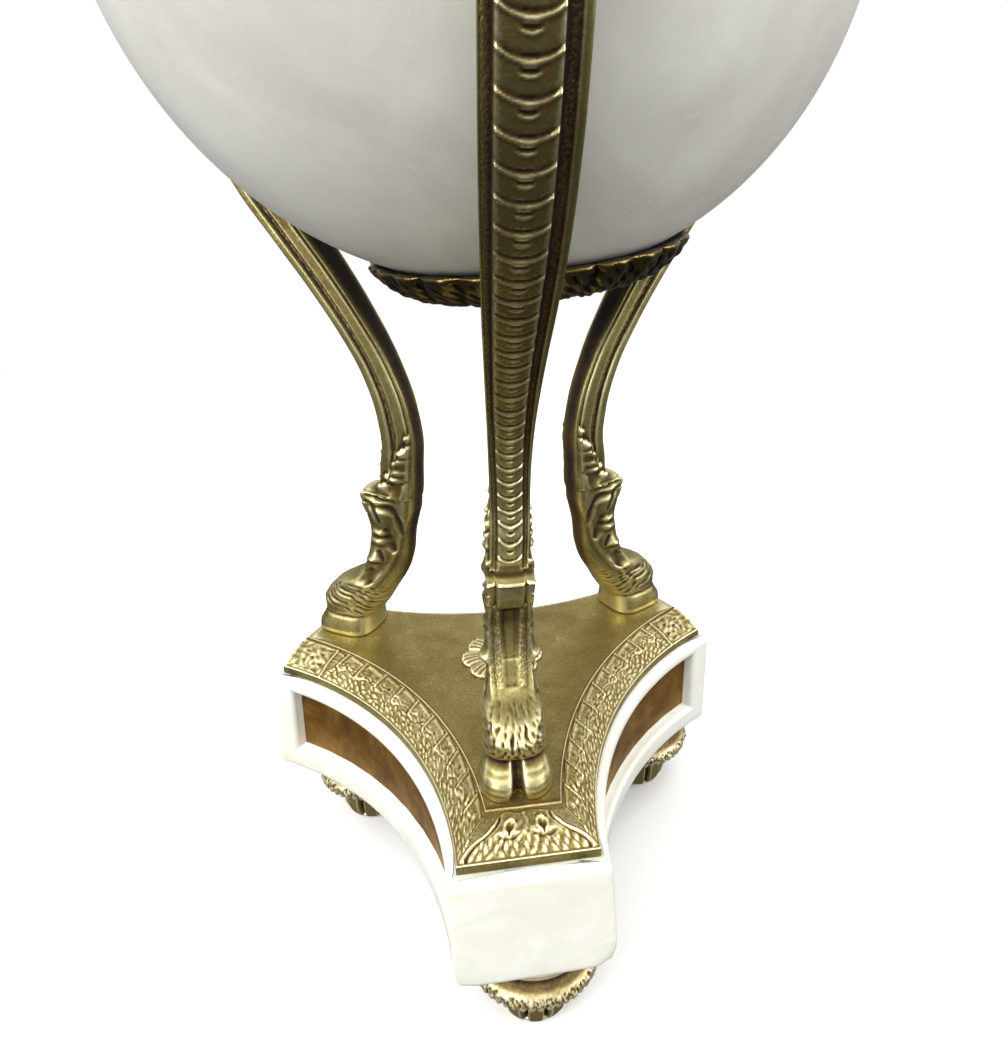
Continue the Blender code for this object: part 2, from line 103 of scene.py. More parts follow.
def node(tree, kind, inputs=None, stops=None, **settings):
    """Add a shader node with its settings and links; stops are a ramp's places and colours."""
    made = tree.nodes.new("ShaderNode" + kind)
    for key, value in settings.items():
        setattr(made, key, value)
    connect(tree, made, inputs or {})
    if stops:
        ramp = made.color_ramp
        while len(ramp.elements) < len(stops):
            ramp.elements.new(0.5)
        for element, (place, colour) in zip(ramp.elements, stops):
            element.position = place
            element.color = linear(colour) if isinstance(colour, str) else (colour, colour, colour, 1.0)
    return made


def ease(value, low, high):
    """0 below low, 1 above high and a smooth rise between them."""
    t = np.clip((value - low) / (high - low), 0.0, 1.0)
    return t * t * (3 - 2 * t)


def edit(piece):
    """Go into edit mode on one piece alone, with all of it selected."""
    bpy.ops.object.select_all(action="DESELECT")
    bpy.context.view_layer.objects.active = piece
    piece.select_set(True)
    bpy.ops.object.mode_set(mode="EDIT")
    bpy.ops.mesh.select_all(action="SELECT")


def skin(name, rows, material, dirt_and_painted_shade=None, hollow=False):
    """Smooth mesh object from closed rings of points (rows x columns x 3), with its faces turned outwards.

    Each end is closed on its middle, or the last ring meets the first where the piece is a hollow ring.
    The extra darkening, if given, is how much darker than its hollows explain each point is coloured: real
    dirt plus painted shade, and painted light where it is below zero.
    """
    count, columns = rows.shape[:2]
    points = [tuple(point) for point in rows.reshape(-1, 3)]
    faces = []
    for row in range(count if hollow else count - 1):
        start, above = row * columns, (row + 1) % count * columns
        for column in range(columns):
            after = (column + 1) % columns
            faces.append((start + column, start + after, above + after, above + column))
    for row in () if hollow else (0, count - 1):
        points.append(tuple(rows[row].mean(axis=0)))
        for column in range(columns):
            pair = (row * columns + column, row * columns + (column + 1) % columns)
            faces.append((*(pair if row else pair[::-1]), len(points) - 1))
    mesh = bpy.data.meshes.new(name)
    mesh.from_pydata(points, [], faces)
    mesh.materials.append(material)
    # This attribute carries dirt together with painted shade and painted light.
    if dirt_and_painted_shade is not None:
        dirt_and_shade_values = mesh.attributes.new("dirt_and_painted_shade", "FLOAT", "POINT")
        dirt_and_shade_values.data.foreach_set("value", np.append(dirt_and_painted_shade.ravel(), (0.0, 0.0)).astype(np.float32))
    piece = bpy.data.objects.new(name, mesh)
    bpy.context.scene.collection.objects.link(piece)
    edit(piece)
    bpy.ops.mesh.remove_doubles(threshold=1e-6)
    bpy.ops.mesh.normals_make_consistent(inside=False)
    bpy.ops.object.mode_set(mode="OBJECT")
    piece.select_set(False)
    mesh.shade_smooth()
    return piece


def heading(angle):
    """Unit vector at an angle in the plan."""
    return np.stack((np.cos(angle), np.sin(angle)), axis=-1)


def loop_lengths(points):
    """Distance along a closed outline at each point, and its full length."""
    gaps = np.linalg.norm(np.roll(points, -1, axis=0) - points, axis=1)
    return np.concatenate(([0.0], np.cumsum(gaps)[:-1])), gaps.sum()


def walk(points, at):
    """Points at given distances along a closed outline."""
    places, total = loop_lengths(points)
    places = np.append(places, total)
    closed = np.vstack((points, points[:1]))
    at = np.mod(at, total)
    return np.stack([np.interp(at, places, closed[:, axis]) for axis in range(2)], axis=1)


def side_arc(cut_distance, arc_radius):
    """Centre and half angle of the right front side's hollow arc, which faces 150 degrees from its centre."""
    centre = heading(math.radians(-30)) * SIDE_ARC_DISTANCE
    reach = math.sqrt(arc_radius ** 2 - (cut_distance + centre[1]) ** 2)
    return centre, math.atan2(-cut_distance - centre[1], -reach) % TAU - math.radians(150)


def triangle_outline(cut_distance, arc_radius, steps=60):
    """Triangle with hollow sides and cut points, counter-clockwise from the front cut's right corner."""
    centre, half = side_arc(cut_distance, arc_radius)
    side = centre + arc_radius * heading(math.radians(150) + half * np.linspace(1, -1, steps + 1))
    spins = [np.array(Matrix.Rotation(math.radians(120 * turn), 2)) for turn in range(3)]
    return np.concatenate([side @ spin.T for spin in spins])


def softened(points, spacing, width):
    """Outline walked in even steps, with its corners rubbed round."""
    total = loop_lengths(points)[1]
    even = walk(points, np.arange(0.0, total, spacing))
    reach = int(3 * width / spacing) + 1
    weights = np.exp(-(np.arange(-reach, reach + 1) * spacing / width) ** 2)
    weights /= weights.sum()
    return sum(weight * np.roll(even, shift - reach, axis=0) for shift, weight in enumerate(weights))


def blank(name):
    """A new material, its node tree, its shader and Object coordinates for its patterns."""
    made = bpy.data.materials.new(name)
    made.use_nodes = True
    tree = made.node_tree
    return made, tree, tree.nodes["Principled BSDF"], node(tree, "TexCoord").outputs["Object"]


def marble(name, tone, cloud, vein, cloud_mm, roughness, vein_share=0.3):
    """White statuary marble: a soft waxy white with slow clouds, faint veins and a very fine grain."""
    made, tree, shader, place = blank(name)
    slow = node(tree, "TexNoise", {"Vector": place, "Scale": 1 / (cloud_mm * MM), "Detail": 5.0,
                                   "Roughness": 0.55, "Distortion": 0.6})
    clouds = node(tree, "ValToRGB", {"Fac": slow}, stops=((0.38, cloud), (0.62, tone)))
    lines = node(tree, "TexNoise", {"Vector": place, "Scale": 1 / (2.2 * cloud_mm * MM), "Detail": 7.0,
                                    "Roughness": 0.6, "Distortion": 1.4})
    narrow = node(tree, "ValToRGB", {"Fac": lines}, stops=((0.43, 0.0), (0.5, vein_share), (0.57, 0.0)))
    veined = node(tree, "MixRGB", {"Fac": narrow, "Color1": clouds, "Color2": linear(vein)})
    dull = node(tree, "ValToRGB", {"Fac": slow}, stops=((0.3, roughness + 0.12), (0.7, roughness)))
    grain = node(tree, "TexNoise", {"Vector": place, "Scale": 1 / (0.8 * MM), "Detail": 3.0})
    bump = node(tree, "Bump", {"Height": grain, "Strength": 0.06, "Distance": 0.2 * MM})
    connect(tree, shader, {"Base Color": veined, "Roughness": dull, "Normal": bump, "IOR": 1.5,
                           "Subsurface Weight": 0.25, "Subsurface Radius": (1.0, 0.85, 0.6),
                           "Subsurface Scale": 3 * MM})
    return made


# Hand-rubbed marble: a satin white with slow clouds about 20 mm wide and faint veins set wider apart.
plinth_marble = marble("rubbed_white_marble", "eff1e8", "ece7dc", "dde4ca", 20, 0.34, 0.40)
soft_line = softened(triangle_outline(PLINTH_CUT_DISTANCE, PLINTH_ARC_RADIUS), 0.0004, PLINTH_SOFTNESS)
along, around = loop_lengths(soft_line)
middles = []
for turn in range(3):
    facing = heading(math.radians(-30 + 120 * turn))
    sideways = np.array((-facing[1], facing[0]))
    near = (soft_line @ facing > 0) & (np.abs(soft_line @ sideways) < 0.001)
    middles.append(along[near].mean())
half_frame = PLINTH_ARC_RADIUS * FRAME_HALF_ANGLE
edge_steps = np.array((-2.2, -1.8, -1.5, -1.2, -0.9, -0.6, -0.4, -0.2, -0.1, 0.0, 0.06, 0.12, 0.5)) * MM
side_walk = np.unique(np.round(np.concatenate((
    edge_steps - half_frame,
    np.linspace(-half_frame + 0.001, half_frame - 0.001, 64),
    half_frame - edge_steps)), 6))
outer_walk = np.arange(half_frame + 0.0028, around / 3 - half_frame - 0.0026, PLAN_STEP)
third_walk = np.concatenate((side_walk, outer_walk))
places = np.concatenate([third_walk + middle for middle in middles])
plan = walk(soft_line, places)
run = walk(soft_line, places + PLAN_STEP) - walk(soft_line, places - PLAN_STEP)
outward = np.stack((run[:, 1], -run[:, 0]), axis=1)
outward /= np.linalg.norm(outward, axis=1)[:, None]
into_side = half_frame - np.abs(np.tile(third_walk, 3))
height = plinth_high[2] - plinth_low[2]
rise = [(PLINTH_ROUNDING * (1 - math.cos(turn)), PLINTH_ROUNDING * (1 - math.sin(turn)))
        for turn in np.linspace(0, math.pi / 2, 8)]
frame_levels = np.unique(np.round(np.concatenate((
    FRAME_BOTTOM + edge_steps,
    np.linspace(FRAME_BOTTOM + 0.002, height - FRAME_TOP - 0.002, 14),
    height - FRAME_TOP - edge_steps[::-1])), 6))
# Each row is a height above the marble's underside and how far it lies inside the outline.
rows = [(0.0, inset + PLINTH_ROUNDING) for inset in (0.030, 0.012)] + rise
rows += [(z, 0.0) for z in frame_levels if PLINTH_ROUNDING < z < height - PLINTH_ROUNDING]
rows += [(height - z, inset) for z, inset in reversed(rise)]
rows += [(height, inset + PLINTH_ROUNDING) for inset in (0.012, 0.030)]
points = np.zeros((len(rows), len(plan), 3))
for row, (level, inset) in enumerate(rows):
    into = np.minimum(into_side, min(level - FRAME_BOTTOM, height - FRAME_TOP - level))
    nose = np.clip((into + FRAME_BULLNOSE) / FRAME_BULLNOSE, 0.0, 1.0)
    depth = FRAME_BULLNOSE * (1 - np.sqrt(1 - nose ** 2 * 0.98)) * (into > -FRAME_BULLNOSE)
    depth = np.where(into > 0.00003, RECESS_FLOOR, depth)
    points[row, :, :2] = plan - outward * (inset + depth)[:, None] + PLINTH_CENTRE
    points[row, :, 2] = plinth_low[2] + level
# The front end isn't quite square: it leans to the right, spreads downwards and has lost its lower corners.
low_share = 1 - (points[:, :, 2] - plinth_low[2]) / height
front_share = ease(-points[:, :, 1], 0.052, 0.080)
spread = FRONT_SPREAD * np.clip(points[:, :, 0] / 0.020, -1, 1)
points[:, :, 0] += (FRONT_LEAN + spread) * low_share * front_share
front_right = points[:, :, 0][points[:, :, 1] < -0.086].max()
for corner_x, lost in ((front_right, 0.0026), (-front_right + 2 * FRONT_LEAN, 0.0012)):
    corner = np.array((corner_x, points[:, :, 1].min(), plinth_low[2]))
    away = np.linalg.norm((points - corner) / (1.0, 1.0, 1.4), axis=2)
    inwards = np.array((-math.copysign(0.75, corner_x), 0.25, 0.65))
    points += (lost * np.exp(-(away / WORN_CORNER) ** 2))[:, :, None] * inwards
plinth = skin("carved_plinth", points, plinth_marble)
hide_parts("marble_plinth")
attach(plinth, "root")

# Panels: thin sheets of gilt brass, burnished and gone brown, let into the three sunk sides. The sheets
# themselves are plain, so they keep their shape and only take their finish here.
def sheet(name, pale, plain, dark, patch_mm, shine):
    """Thin burnished sheet: brown lacquer over brass, gone cloudy in patches."""
    made, tree, shader, place = blank(name)
    patches = node(tree, "TexNoise", {"Vector": place, "Scale": 1 / (patch_mm * MM), "Detail": 6.0,
                                      "Roughness": 0.65, "Distortion": 0.5})
    colour = node(tree, "ValToRGB", {"Fac": patches}, stops=((0.30, dark), (0.5, plain), (0.72, pale)))
    rough = node(tree, "ValToRGB", {"Fac": patches}, stops=((0.3, shine + 0.15), (0.7, shine)))
    connect(tree, shader, {"Base Color": colour, "Roughness": rough, "Metallic": 0.6,
                           "Specular IOR Level": 0.25})
    return made


sheet_brass = sheet("burnished_brown_brass", "9c7838", "7a5620", "523814", patch_mm=14, shine=0.46)
for name in ("panel_left", "panel_right", "panel_back"):
    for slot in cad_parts[name].material_slots:
        slot.material = sheet_brass


# Feet: three small turned feet of gilt brass under the plinth's points, each a smooth neck, a thick
# knurled ring with a scalloped lower edge, and a swelling lobed body cut by dark clefts.
FOOT_BUMPS = 46
FOOT_LOBES = 10
FOOT_TURN = -0.10
FOOT_GRAIN = 0.0005
CLEFT_DEPTH = 0.0030
BEAD_SIZE = 0.0008
GRANULE_SIZE = 0.00016
FOOT_OUTLINE = (
    # radius and height in mm, from the floor up
    (7.8, 0.0), (8.4, 0.3), (9.2, 1.0), (10.4, 3.0), (11.1, 5.4), (11.4, 8.0), (11.4, 10.5), (11.1, 13.0),
    (10.8, 15.0), (10.4, 16.0), (10.4, 16.5), (13.0, 16.8), (17.4, 17.0), (18.2, 17.6), (18.7, 18.6),
    (18.7, 19.6), (18.3, 20.6), (17.6, 21.4), (16.6, 22.2), (15.9, 23.2), (15.5, 24.2), (15.6, 25.3),
    (16.4, 26.0), (16.8, 26.6), (16.8, 28.4),
)


def glide(keys, values, at):
    """Smooth curve through key values that never overshoots them."""
    keys = np.asarray(keys, float)
    values = np.asarray(values, float)
    steps = np.diff(values) / np.diff(keys)
    before, after = steps[:-1], steps[1:]
    inner = np.where(before * after > 0, 2 * before * after / (before + after + 1e-12 * np.sign(before)), 0.0)
    slopes = np.concatenate((steps[:1], inner, steps[-1:]))
    place = np.clip(np.searchsorted(keys, at) - 1, 0, len(keys) - 2)
    width = keys[place + 1] - keys[place]
    t = np.clip((at - keys[place]) / width, 0.0, 1.0)
    return ((1 + 2 * t) * (1 - t) ** 2 * values[place] + t * (1 - t) ** 2 * width * slopes[place]
            + t * t * (3 - 2 * t) * values[place + 1] + t * t * (t - 1) * width * slopes[place + 1])


def between(value, rise_from, rise_to, fall_from, fall_to):
    """0 outside, 1 in the middle, with a smooth rise and a smooth fall."""
    return ease(value, rise_from, rise_to) * (1 - ease(value, fall_from, fall_to))


def bump_at(value, centre, width):
    """A round hump of height 1."""
    return np.exp(-((value - centre) / width) ** 2)


def wear_and_shade_map(piece, passes=(3, 14), gain=9.0):
    """Attribute "hollow" from 0 on worn high points through 0.5 on plain faces to 1 in deep hollows, plus
    each point's extra dirt and painted shade.
    """
    mesh = piece.data
    count = len(mesh.vertices)
    place = np.empty((count, 3))
    mesh.vertices.foreach_get("co", place.ravel())
    pairs = np.empty(len(mesh.edges) * 2, dtype=np.int32)
    mesh.edges.foreach_get("vertices", pairs)
    one, two = pairs.reshape(-1, 2).T
    degree = np.bincount(one, minlength=count) + np.bincount(two, minlength=count)
    normal = np.empty((count, 3))
    mesh.vertices.foreach_get("normal", normal.ravel())
    smooth = place.copy()
    lying = np.zeros(count)
    for step in range(1, max(passes) + 1):
        total = np.stack([np.bincount(one, line[two], count) + np.bincount(two, line[one], count)
                          for line in smooth.T], axis=1)
        smooth = 0.5 * smooth + 0.5 * total / degree[:, None]
        if step in passes:
            lying += np.einsum("ij,ij->i", smooth - place, normal) / len(passes)
    shade = 0.5 + np.clip(lying / MM * gain * 0.5, -0.6, 0.6)
    if "dirt_and_painted_shade" in mesh.attributes:
        dirt_and_shade_values = np.empty(count, dtype=np.float32)
        mesh.attributes["dirt_and_painted_shade"].data.foreach_get("value", dirt_and_shade_values)
        # Adds each point's extra dirt together with its painted shade and painted light.
        shade = shade + dirt_and_shade_values
    layer = mesh.attributes.new("hollow", "FLOAT", "POINT")
    layer.data.foreach_set("value", np.clip(shade, 0.0, 1.0).astype(np.float32))


def gilding(name, pale, plain, brown, dark, patch_mm=9.0, shine=0.38, grain_mm=0.35,
            grain_depth=0.10, metal=1.0):
    """Fire-gilt cast brass, chased and matted: rubbed pale gold on high points, brown dirt in the hollows,
    plus the painted shade and light some pieces carry.
    """
    made, tree, shader, place = blank(name)
    patches = node(tree, "TexNoise", {"Vector": place, "Scale": 1 / (patch_mm * MM), "Detail": 4.0,
                                      "Roughness": 0.6, "Distortion": 0.4})
    specks = node(tree, "TexNoise", {"Vector": place, "Scale": 1 / (0.9 * MM), "Detail": 3.0})
    # Hollow holds the hollows' dirt plus painted shade and painted light laid on some pieces.
    hollow = node(tree, "Attribute", attribute_name="hollow").outputs["Fac"]
    shaken = node(tree, "Math", {0: patches, 1: 0.34, 2: hollow}, operation="MULTIPLY_ADD")
    mottled = node(tree, "Math", {0: specks, 1: 0.30, 2: shaken}, operation="MULTIPLY_ADD")
    depth = node(tree, "Math", {0: mottled, 1: 0.32}, operation="SUBTRACT")
    colour = node(tree, "ValToRGB", {"Fac": depth},
                  stops=((0.18, pale), (0.48, plain), (0.74, brown), (0.98, dark)))
    rough = node(tree, "ValToRGB", {"Fac": depth},
                 stops=((0.15, shine - 0.06), (0.5, shine + 0.06), (0.9, 0.75)))
    bare = node(tree, "ValToRGB", {"Fac": depth}, stops=((0.6, metal), (0.95, 0.35 * metal)))
    grain = node(tree, "TexNoise", {"Vector": place, "Scale": 1 / (grain_mm * MM), "Detail": 2.0})
    bump = node(tree, "Bump", {"Height": grain, "Distance": grain_depth * MM, "Strength": 1.0})
    connect(tree, shader, {"Base Color": colour, "Roughness": rough, "Metallic": bare, "Normal": bump})
    return made


def profile(outline, spacing):
    """Radius and height along a turned outline, smoothly from point to point in even steps."""
    run = np.concatenate(([0.0], np.cumsum(np.linalg.norm(np.diff(outline, axis=0), axis=1))))
    at = np.arange(0.0, run[-1], spacing)
    return glide(run, outline[:, 0], at), glide(run, outline[:, 1], at)


def turned(radii, angles, levels, centre=(0.0, 0.0)):
    """Rings of points round an upright axis."""
    x = radii * np.cos(angles) + centre[0]
    y = radii * np.sin(angles) + centre[1]
    return np.stack((x, y, levels + 0 * x), axis=-1)


def foot_points(centre):
    """Rings of points for one foot, floor upwards, and the dirt and painted shade on each."""
    radius, level = profile(np.array(FOOT_OUTLINE) * MM, FOOT_GRAIN)
    angle = np.linspace(0, TAU, FOOT_BUMPS * 7, endpoint=False)
    radii, angles = np.meshgrid(radius, angle, indexing="ij")
    levels = np.repeat(level[:, None], len(angle), axis=1)
    body = between(levels, 0.0003, 0.0022, 0.0152, 0.0162)
    cleft = np.abs(np.sin(FOOT_LOBES * angles / 2))
    radii -= body * CLEFT_DEPTH * (1 - ease(cleft, 0.18, 0.62))
    beads = np.abs(np.cos(FOOT_BUMPS * angles / 2)) ** 0.7
    lip = bump_at(levels, 0.0174, 0.0009)
    radii += lip * BEAD_SIZE * (beads - 0.7)
    levels = levels - lip * BEAD_SIZE * beads
    ring = between(levels, 0.0178, 0.0184, 0.0203, 0.0212)
    granules = np.random.default_rng(5).normal(0, 1.0, radii.shape)
    granules = granules + np.roll(granules, 1, axis=1) + np.roll(granules, 1, axis=0)
    radii += ring * granules * GRANULE_SIZE
    dish = ease(levels, 0.0205, 0.0230)
    # Painted shade darkens the body under the overhanging ring, most in its clefts, where there is brown dirt
    # too; the dish and ring are a little darker and the lip's beads rubbed paler.
    dirt_and_painted_shade = 0.10 * dish + body * (0.32 - 0.20 * cleft) + 0.10 * ring - 0.12 * lip * beads
    return turned(radii, angles + FOOT_TURN, levels, centre), dirt_and_painted_shade


# Matted gilding: pale where the high points are rubbed, brown in the clefts.
foot_gilt = gilding("matted_gilt_brass", "f2e8bf", "a4935e", "68502c", "1c130a", patch_mm=6, shine=0.36,
                    grain_mm=0.4, metal=0.6)
for name in ("foot_front", "foot_right", "foot_left"):
    low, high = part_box(name)
    foot_rows, foot_dirt_and_painted_shade = foot_points(((low[0] + high[0]) / 2, (low[1] + high[1]) / 2))
    foot = skin(name.replace("foot", "turned_foot"), foot_rows, foot_gilt, foot_dirt_and_painted_shade)
    wear_and_shade_map(foot, passes=(3, 10), gain=6.5)
    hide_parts(name)
    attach(foot, "root")


# Base plate: a flat gilt plate on the marble. Its two front sides carry a cast border of overlapping leaf
# scales that slopes from the field down to the thin outer edge, and its front end a frieze of lobed leaves.
plate_low, plate_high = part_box("base_plate")
PLATE_CUT_DISTANCE = 0.0734
PLATE_EDGE = 0.0025
BORDER_FRONT = 0.0098
BORDER_CORNER = 0.0138
FRIEZE_LINE = -0.0700
TILE_PITCH = 9.3
TILE_SLANT = 2.6
TILE_LUMPS = 7
BORDER_COLUMNS = 360
FRONT_COLUMNS = 130
CUT_COLUMNS = 10
PLAIN, SIDE, FRONT = 0, 1, 2
BORDER_ROWS = 52
FRIEZE_HALF = 14.0
FRIEZE_TIPS = 34
PALMETTE_SHARE = 0.86


def border_lines():
    """Outer and inner line of the right front side's border, from the front corner to the side corner."""
    centre, half = side_arc(PLATE_CUT_DISTANCE, PLATE_ARC_RADIUS)
    near = PLATE_ARC_RADIUS + BORDER_FRONT
    far = PLATE_ARC_RADIUS + BORDER_CORNER
    front = FRIEZE_LINE - PLINTH_CENTRE[1] - centre[1]
    start = math.atan2(front, -math.sqrt(near ** 2 - front ** 2)) % TAU
    inward = math.radians(210)
    offset = centre @ heading(inward) + PLATE_CUT_DISTANCE
    end = inward - math.acos(-offset / far)
    share = np.linspace(0, 1, BORDER_COLUMNS)
    outer = centre + PLATE_ARC_RADIUS * heading(math.radians(150) + half * (1 - 2 * share))
    radius = near + (far - near) * share
    inner = centre + radius[:, None] * heading(start + (end - start) * share)
    return outer, inner, share


def drop(off_x, off_y, lean, length, width):
    """A slanting drop-shaped leaf tip of height 1, and its distances along and across in mm."""
    long = off_x * math.cos(lean) + off_y * math.sin(lean)
    short = off_y * math.cos(lean) - off_x * math.sin(lean)
    return np.exp(-(long / length) ** 2 - (short / width) ** 2), long, short


def around_point(off_x, off_y):
    """Direction and distance from a point."""
    return np.arctan2(off_y, off_x), np.hypot(off_x, off_y)


def leaf_tips(place, depth, rng):
    """Ragged overlapping leaf tips along the border's outer half, a few rows of slanting drops, in mm."""
    relief = np.zeros_like(place)
    for row, count, thick in ((0.09, 3.6, 0.45), (0.18, 3.2, 0.50), (0.27, 3.0, 0.50), (0.36, 2.6, 0.50)):
        for index in range(int(count * (place.max() + 1))):
            centre = (index + rng.uniform(-0.3, 0.3)) / count
            level = row + rng.uniform(-0.03, 0.03)
            lean = rng.uniform(-0.2, 0.9)
            size = rng.uniform(0.75, 1.25)
            tip, long, short = drop((place - centre) * TILE_PITCH, (depth - level) * BORDER_CORNER / MM, lean,
                                    1.05 * size, 0.60 * size)
            gap = np.exp(-(long / 1.1) ** 2 - ((short - 0.9 * size) / 0.40) ** 2)
            relief = np.maximum(relief, thick * size * tip) - 0.20 * gap
    return relief


def side_relief(share, depth, length):
    """Height of the side border's carving in mm: ragged leaf tips outside, a row of stepped tiles inside."""
    place = share * length / TILE_PITCH + (depth - 0.8) * TILE_SLANT / TILE_PITCH
    place = place + 0.03 * np.sin(place * 4.3 + depth * 5.0)
    unit = place % 1.0
    rng = np.random.default_rng(7)
    rim = 0.2 * bump_at(depth, 0.02, 0.02)
    tips = leaf_tips(place, depth, rng) * between(depth, 0.03, 0.07, 0.40, 0.47)
    start = 0.40 + 0.05 * np.sin(unit * TAU) + 0.02 * np.sin(place * 9.0)
    in_tile = between(depth, start, start + 0.05, 0.88, 0.90)
    slope = -0.45 + 0.75 * ease(unit, 0.0, 0.9) - 0.75 * ease(unit, 0.91, 1.0)
    crest = 0.50 * (bump_at(unit, 0.88, 0.045) + bump_at(unit, -0.12, 0.045))
    crest = crest - 0.25 * bump_at(unit, 0.03, 0.05)
    band = 0.30 * bump_at(depth, 0.83, 0.05) * (1 - ease(unit, 0.65, 0.82))
    curl = np.zeros_like(place)
    for lump in range((int(place.max()) + 1) * TILE_LUMPS):
        off_x = (place - lump // TILE_LUMPS - rng.uniform(0.15, 0.80)) * TILE_PITCH
        off_y = (depth - rng.uniform(0.46, 0.74)) * 11
        girth, deep = rng.uniform(0.45, 1.0), rng.uniform(-0.42, 0.50)
        curl += deep * np.exp(-(off_x ** 2 + off_y ** 2) / girth ** 2)
    creases = 0.10 * np.sin(depth * 60.0 + 2.0 * np.sin(place * 11.0)) * bump_at(depth, 0.52, 0.10)
    tiles = in_tile * (0.25 + slope + crest + band + curl + creases)
    far = ease(share, PALMETTE_SHARE, PALMETTE_SHARE + 0.006)
    along = (share - PALMETTE_SHARE) / (1 - PALMETTE_SHARE)
    frame_band = 0.45 * (bump_at(along, 0.05, 0.035) + 0.8 * bump_at(depth, 0.86, 0.04)
                         + 0.6 * bump_at(along, 0.97, 0.03))
    turn, radius = around_point((along - 0.5) * 1.2, depth - 0.10)
    petal = np.cos(turn * 9 + 2.4 * np.sin(radius * 9.0)) * ease(radius, 0.10, 0.25)
    clumps = np.sin(along * 17.0 + 3.0 * np.sin(depth * 7.0))
    clumps = clumps * np.sin(depth * 19.0 + 2.0 * np.sin(along * 8.0))
    palm_zone = between(depth, 0.04, 0.08, 0.83, 0.86) * ease(along, 0.08, 0.12)
    drill = sum(-0.9 * np.exp(-((along - spot) / 0.045) ** 2 - ((depth - rise) / 0.04) ** 2)
                for spot, rise in ((0.34, 0.62), (0.52, 0.46), (0.70, 0.60), (0.24, 0.34)))
    palmette = palm_zone * (0.15 + 0.14 * petal + 0.20 * clumps + drill)
    palmette = palmette + frame_band * (1 - ease(depth, 0.90, 0.92))
    fillet = between(depth, 0.962, 0.970, 0.99, 1.0) * 0.28
    return rim + (tiles + tips) * (1 - far) + palmette * far + fillet - 0.20


def front_relief(share, depth):
    """Height of the front frieze's carving in mm: two lobed leaves with keyhole hollows, over ragged tips."""
    across = (share - 0.5) * 2
    side = np.abs(across)
    arch = 0.84 - 0.16 * ease(side, 0.42, 0.80) + 0.02 * np.sin(across * 11.0)
    inside = between(depth, 0.04, 0.08, arch, arch + 0.06)
    curve = 0.93 - 0.32 * ease(depth, 0.10, 0.80) + 0.04 * np.sin(depth * 8)
    rib = 0.85 * bump_at(side, curve, 0.030) * (0.8 + 0.2 * np.sin(depth * 23.0))
    gutter = -0.45 * bump_at(side, curve - 0.055, 0.028)
    lobes = 0.60 * np.sqrt(np.clip(1 - ((side - 0.33) / 0.38) ** 2, 0, 1)) * ease(depth, 0.30, 0.46)
    turn, radius = around_point((side - 0.31) * 1.3, depth - 0.48)
    fan = 0.10 * np.cos(turn * 8.0 + 2.2 * np.sin(across * 7.0)) * bump_at(radius, 0.26, 0.12)
    hole = -1.5 * np.exp(-(((side - 0.31) / 0.062) ** 2 + ((depth - 0.57) / 0.085) ** 2) ** 1.5)
    rim = 0.35 * bump_at(np.hypot((side - 0.31) / 0.105, (depth - 0.57) / 0.13), 1.0, 0.22)
    stem = -0.9 * bump_at(side, 0.31, 0.028) * bump_at(depth, 0.44, 0.05)
    smile = -0.55 * bump_at(depth - 0.36 - 1.4 * (side - 0.31) ** 2, 0.0, 0.03) * \
        (1 - ease(np.abs(side - 0.31), 0.14, 0.24))
    middle = 0.35 * bump_at(across + 0.02 * np.sin(depth * 17.0), 0.0, 0.035) * ease(depth, 0.20, 0.34)
    rng = np.random.default_rng(17)
    tips = np.zeros_like(across)
    for index in range(FRIEZE_TIPS):
        centre = -0.88 + 1.76 * (index + rng.uniform(0.1, 0.9)) / FRIEZE_TIPS
        level = (0.13, 0.24, 0.33)[index % 3] + rng.uniform(-0.03, 0.03)
        lean = rng.uniform(-0.9, 0.9)
        tip, long, short = drop((depth - level) * BORDER_FRONT / MM, (centre - across) * FRIEZE_HALF, lean,
                                0.9, 0.5)
        tips = np.maximum(tips, 0.55 * tip)
        tips -= 0.25 * np.exp(-(long / 1.2) ** 2 - ((short + 0.95) / 0.4) ** 2)
    tips *= 1 - ease(depth, 0.38, 0.46)
    field = ease(side, curve - 0.10, curve - 0.04)
    flower = lobes + fan + hole + rim + stem + smile + middle + tips
    carving = inside * (rib + gutter + flower * (1 - field))
    edge = 0.25 * bump_at(depth, 0.02, 0.02)
    fillet = between(depth, 0.955, 0.965, 0.99, 1.0) * 0.28
    return edge + carving + fillet - 0.20


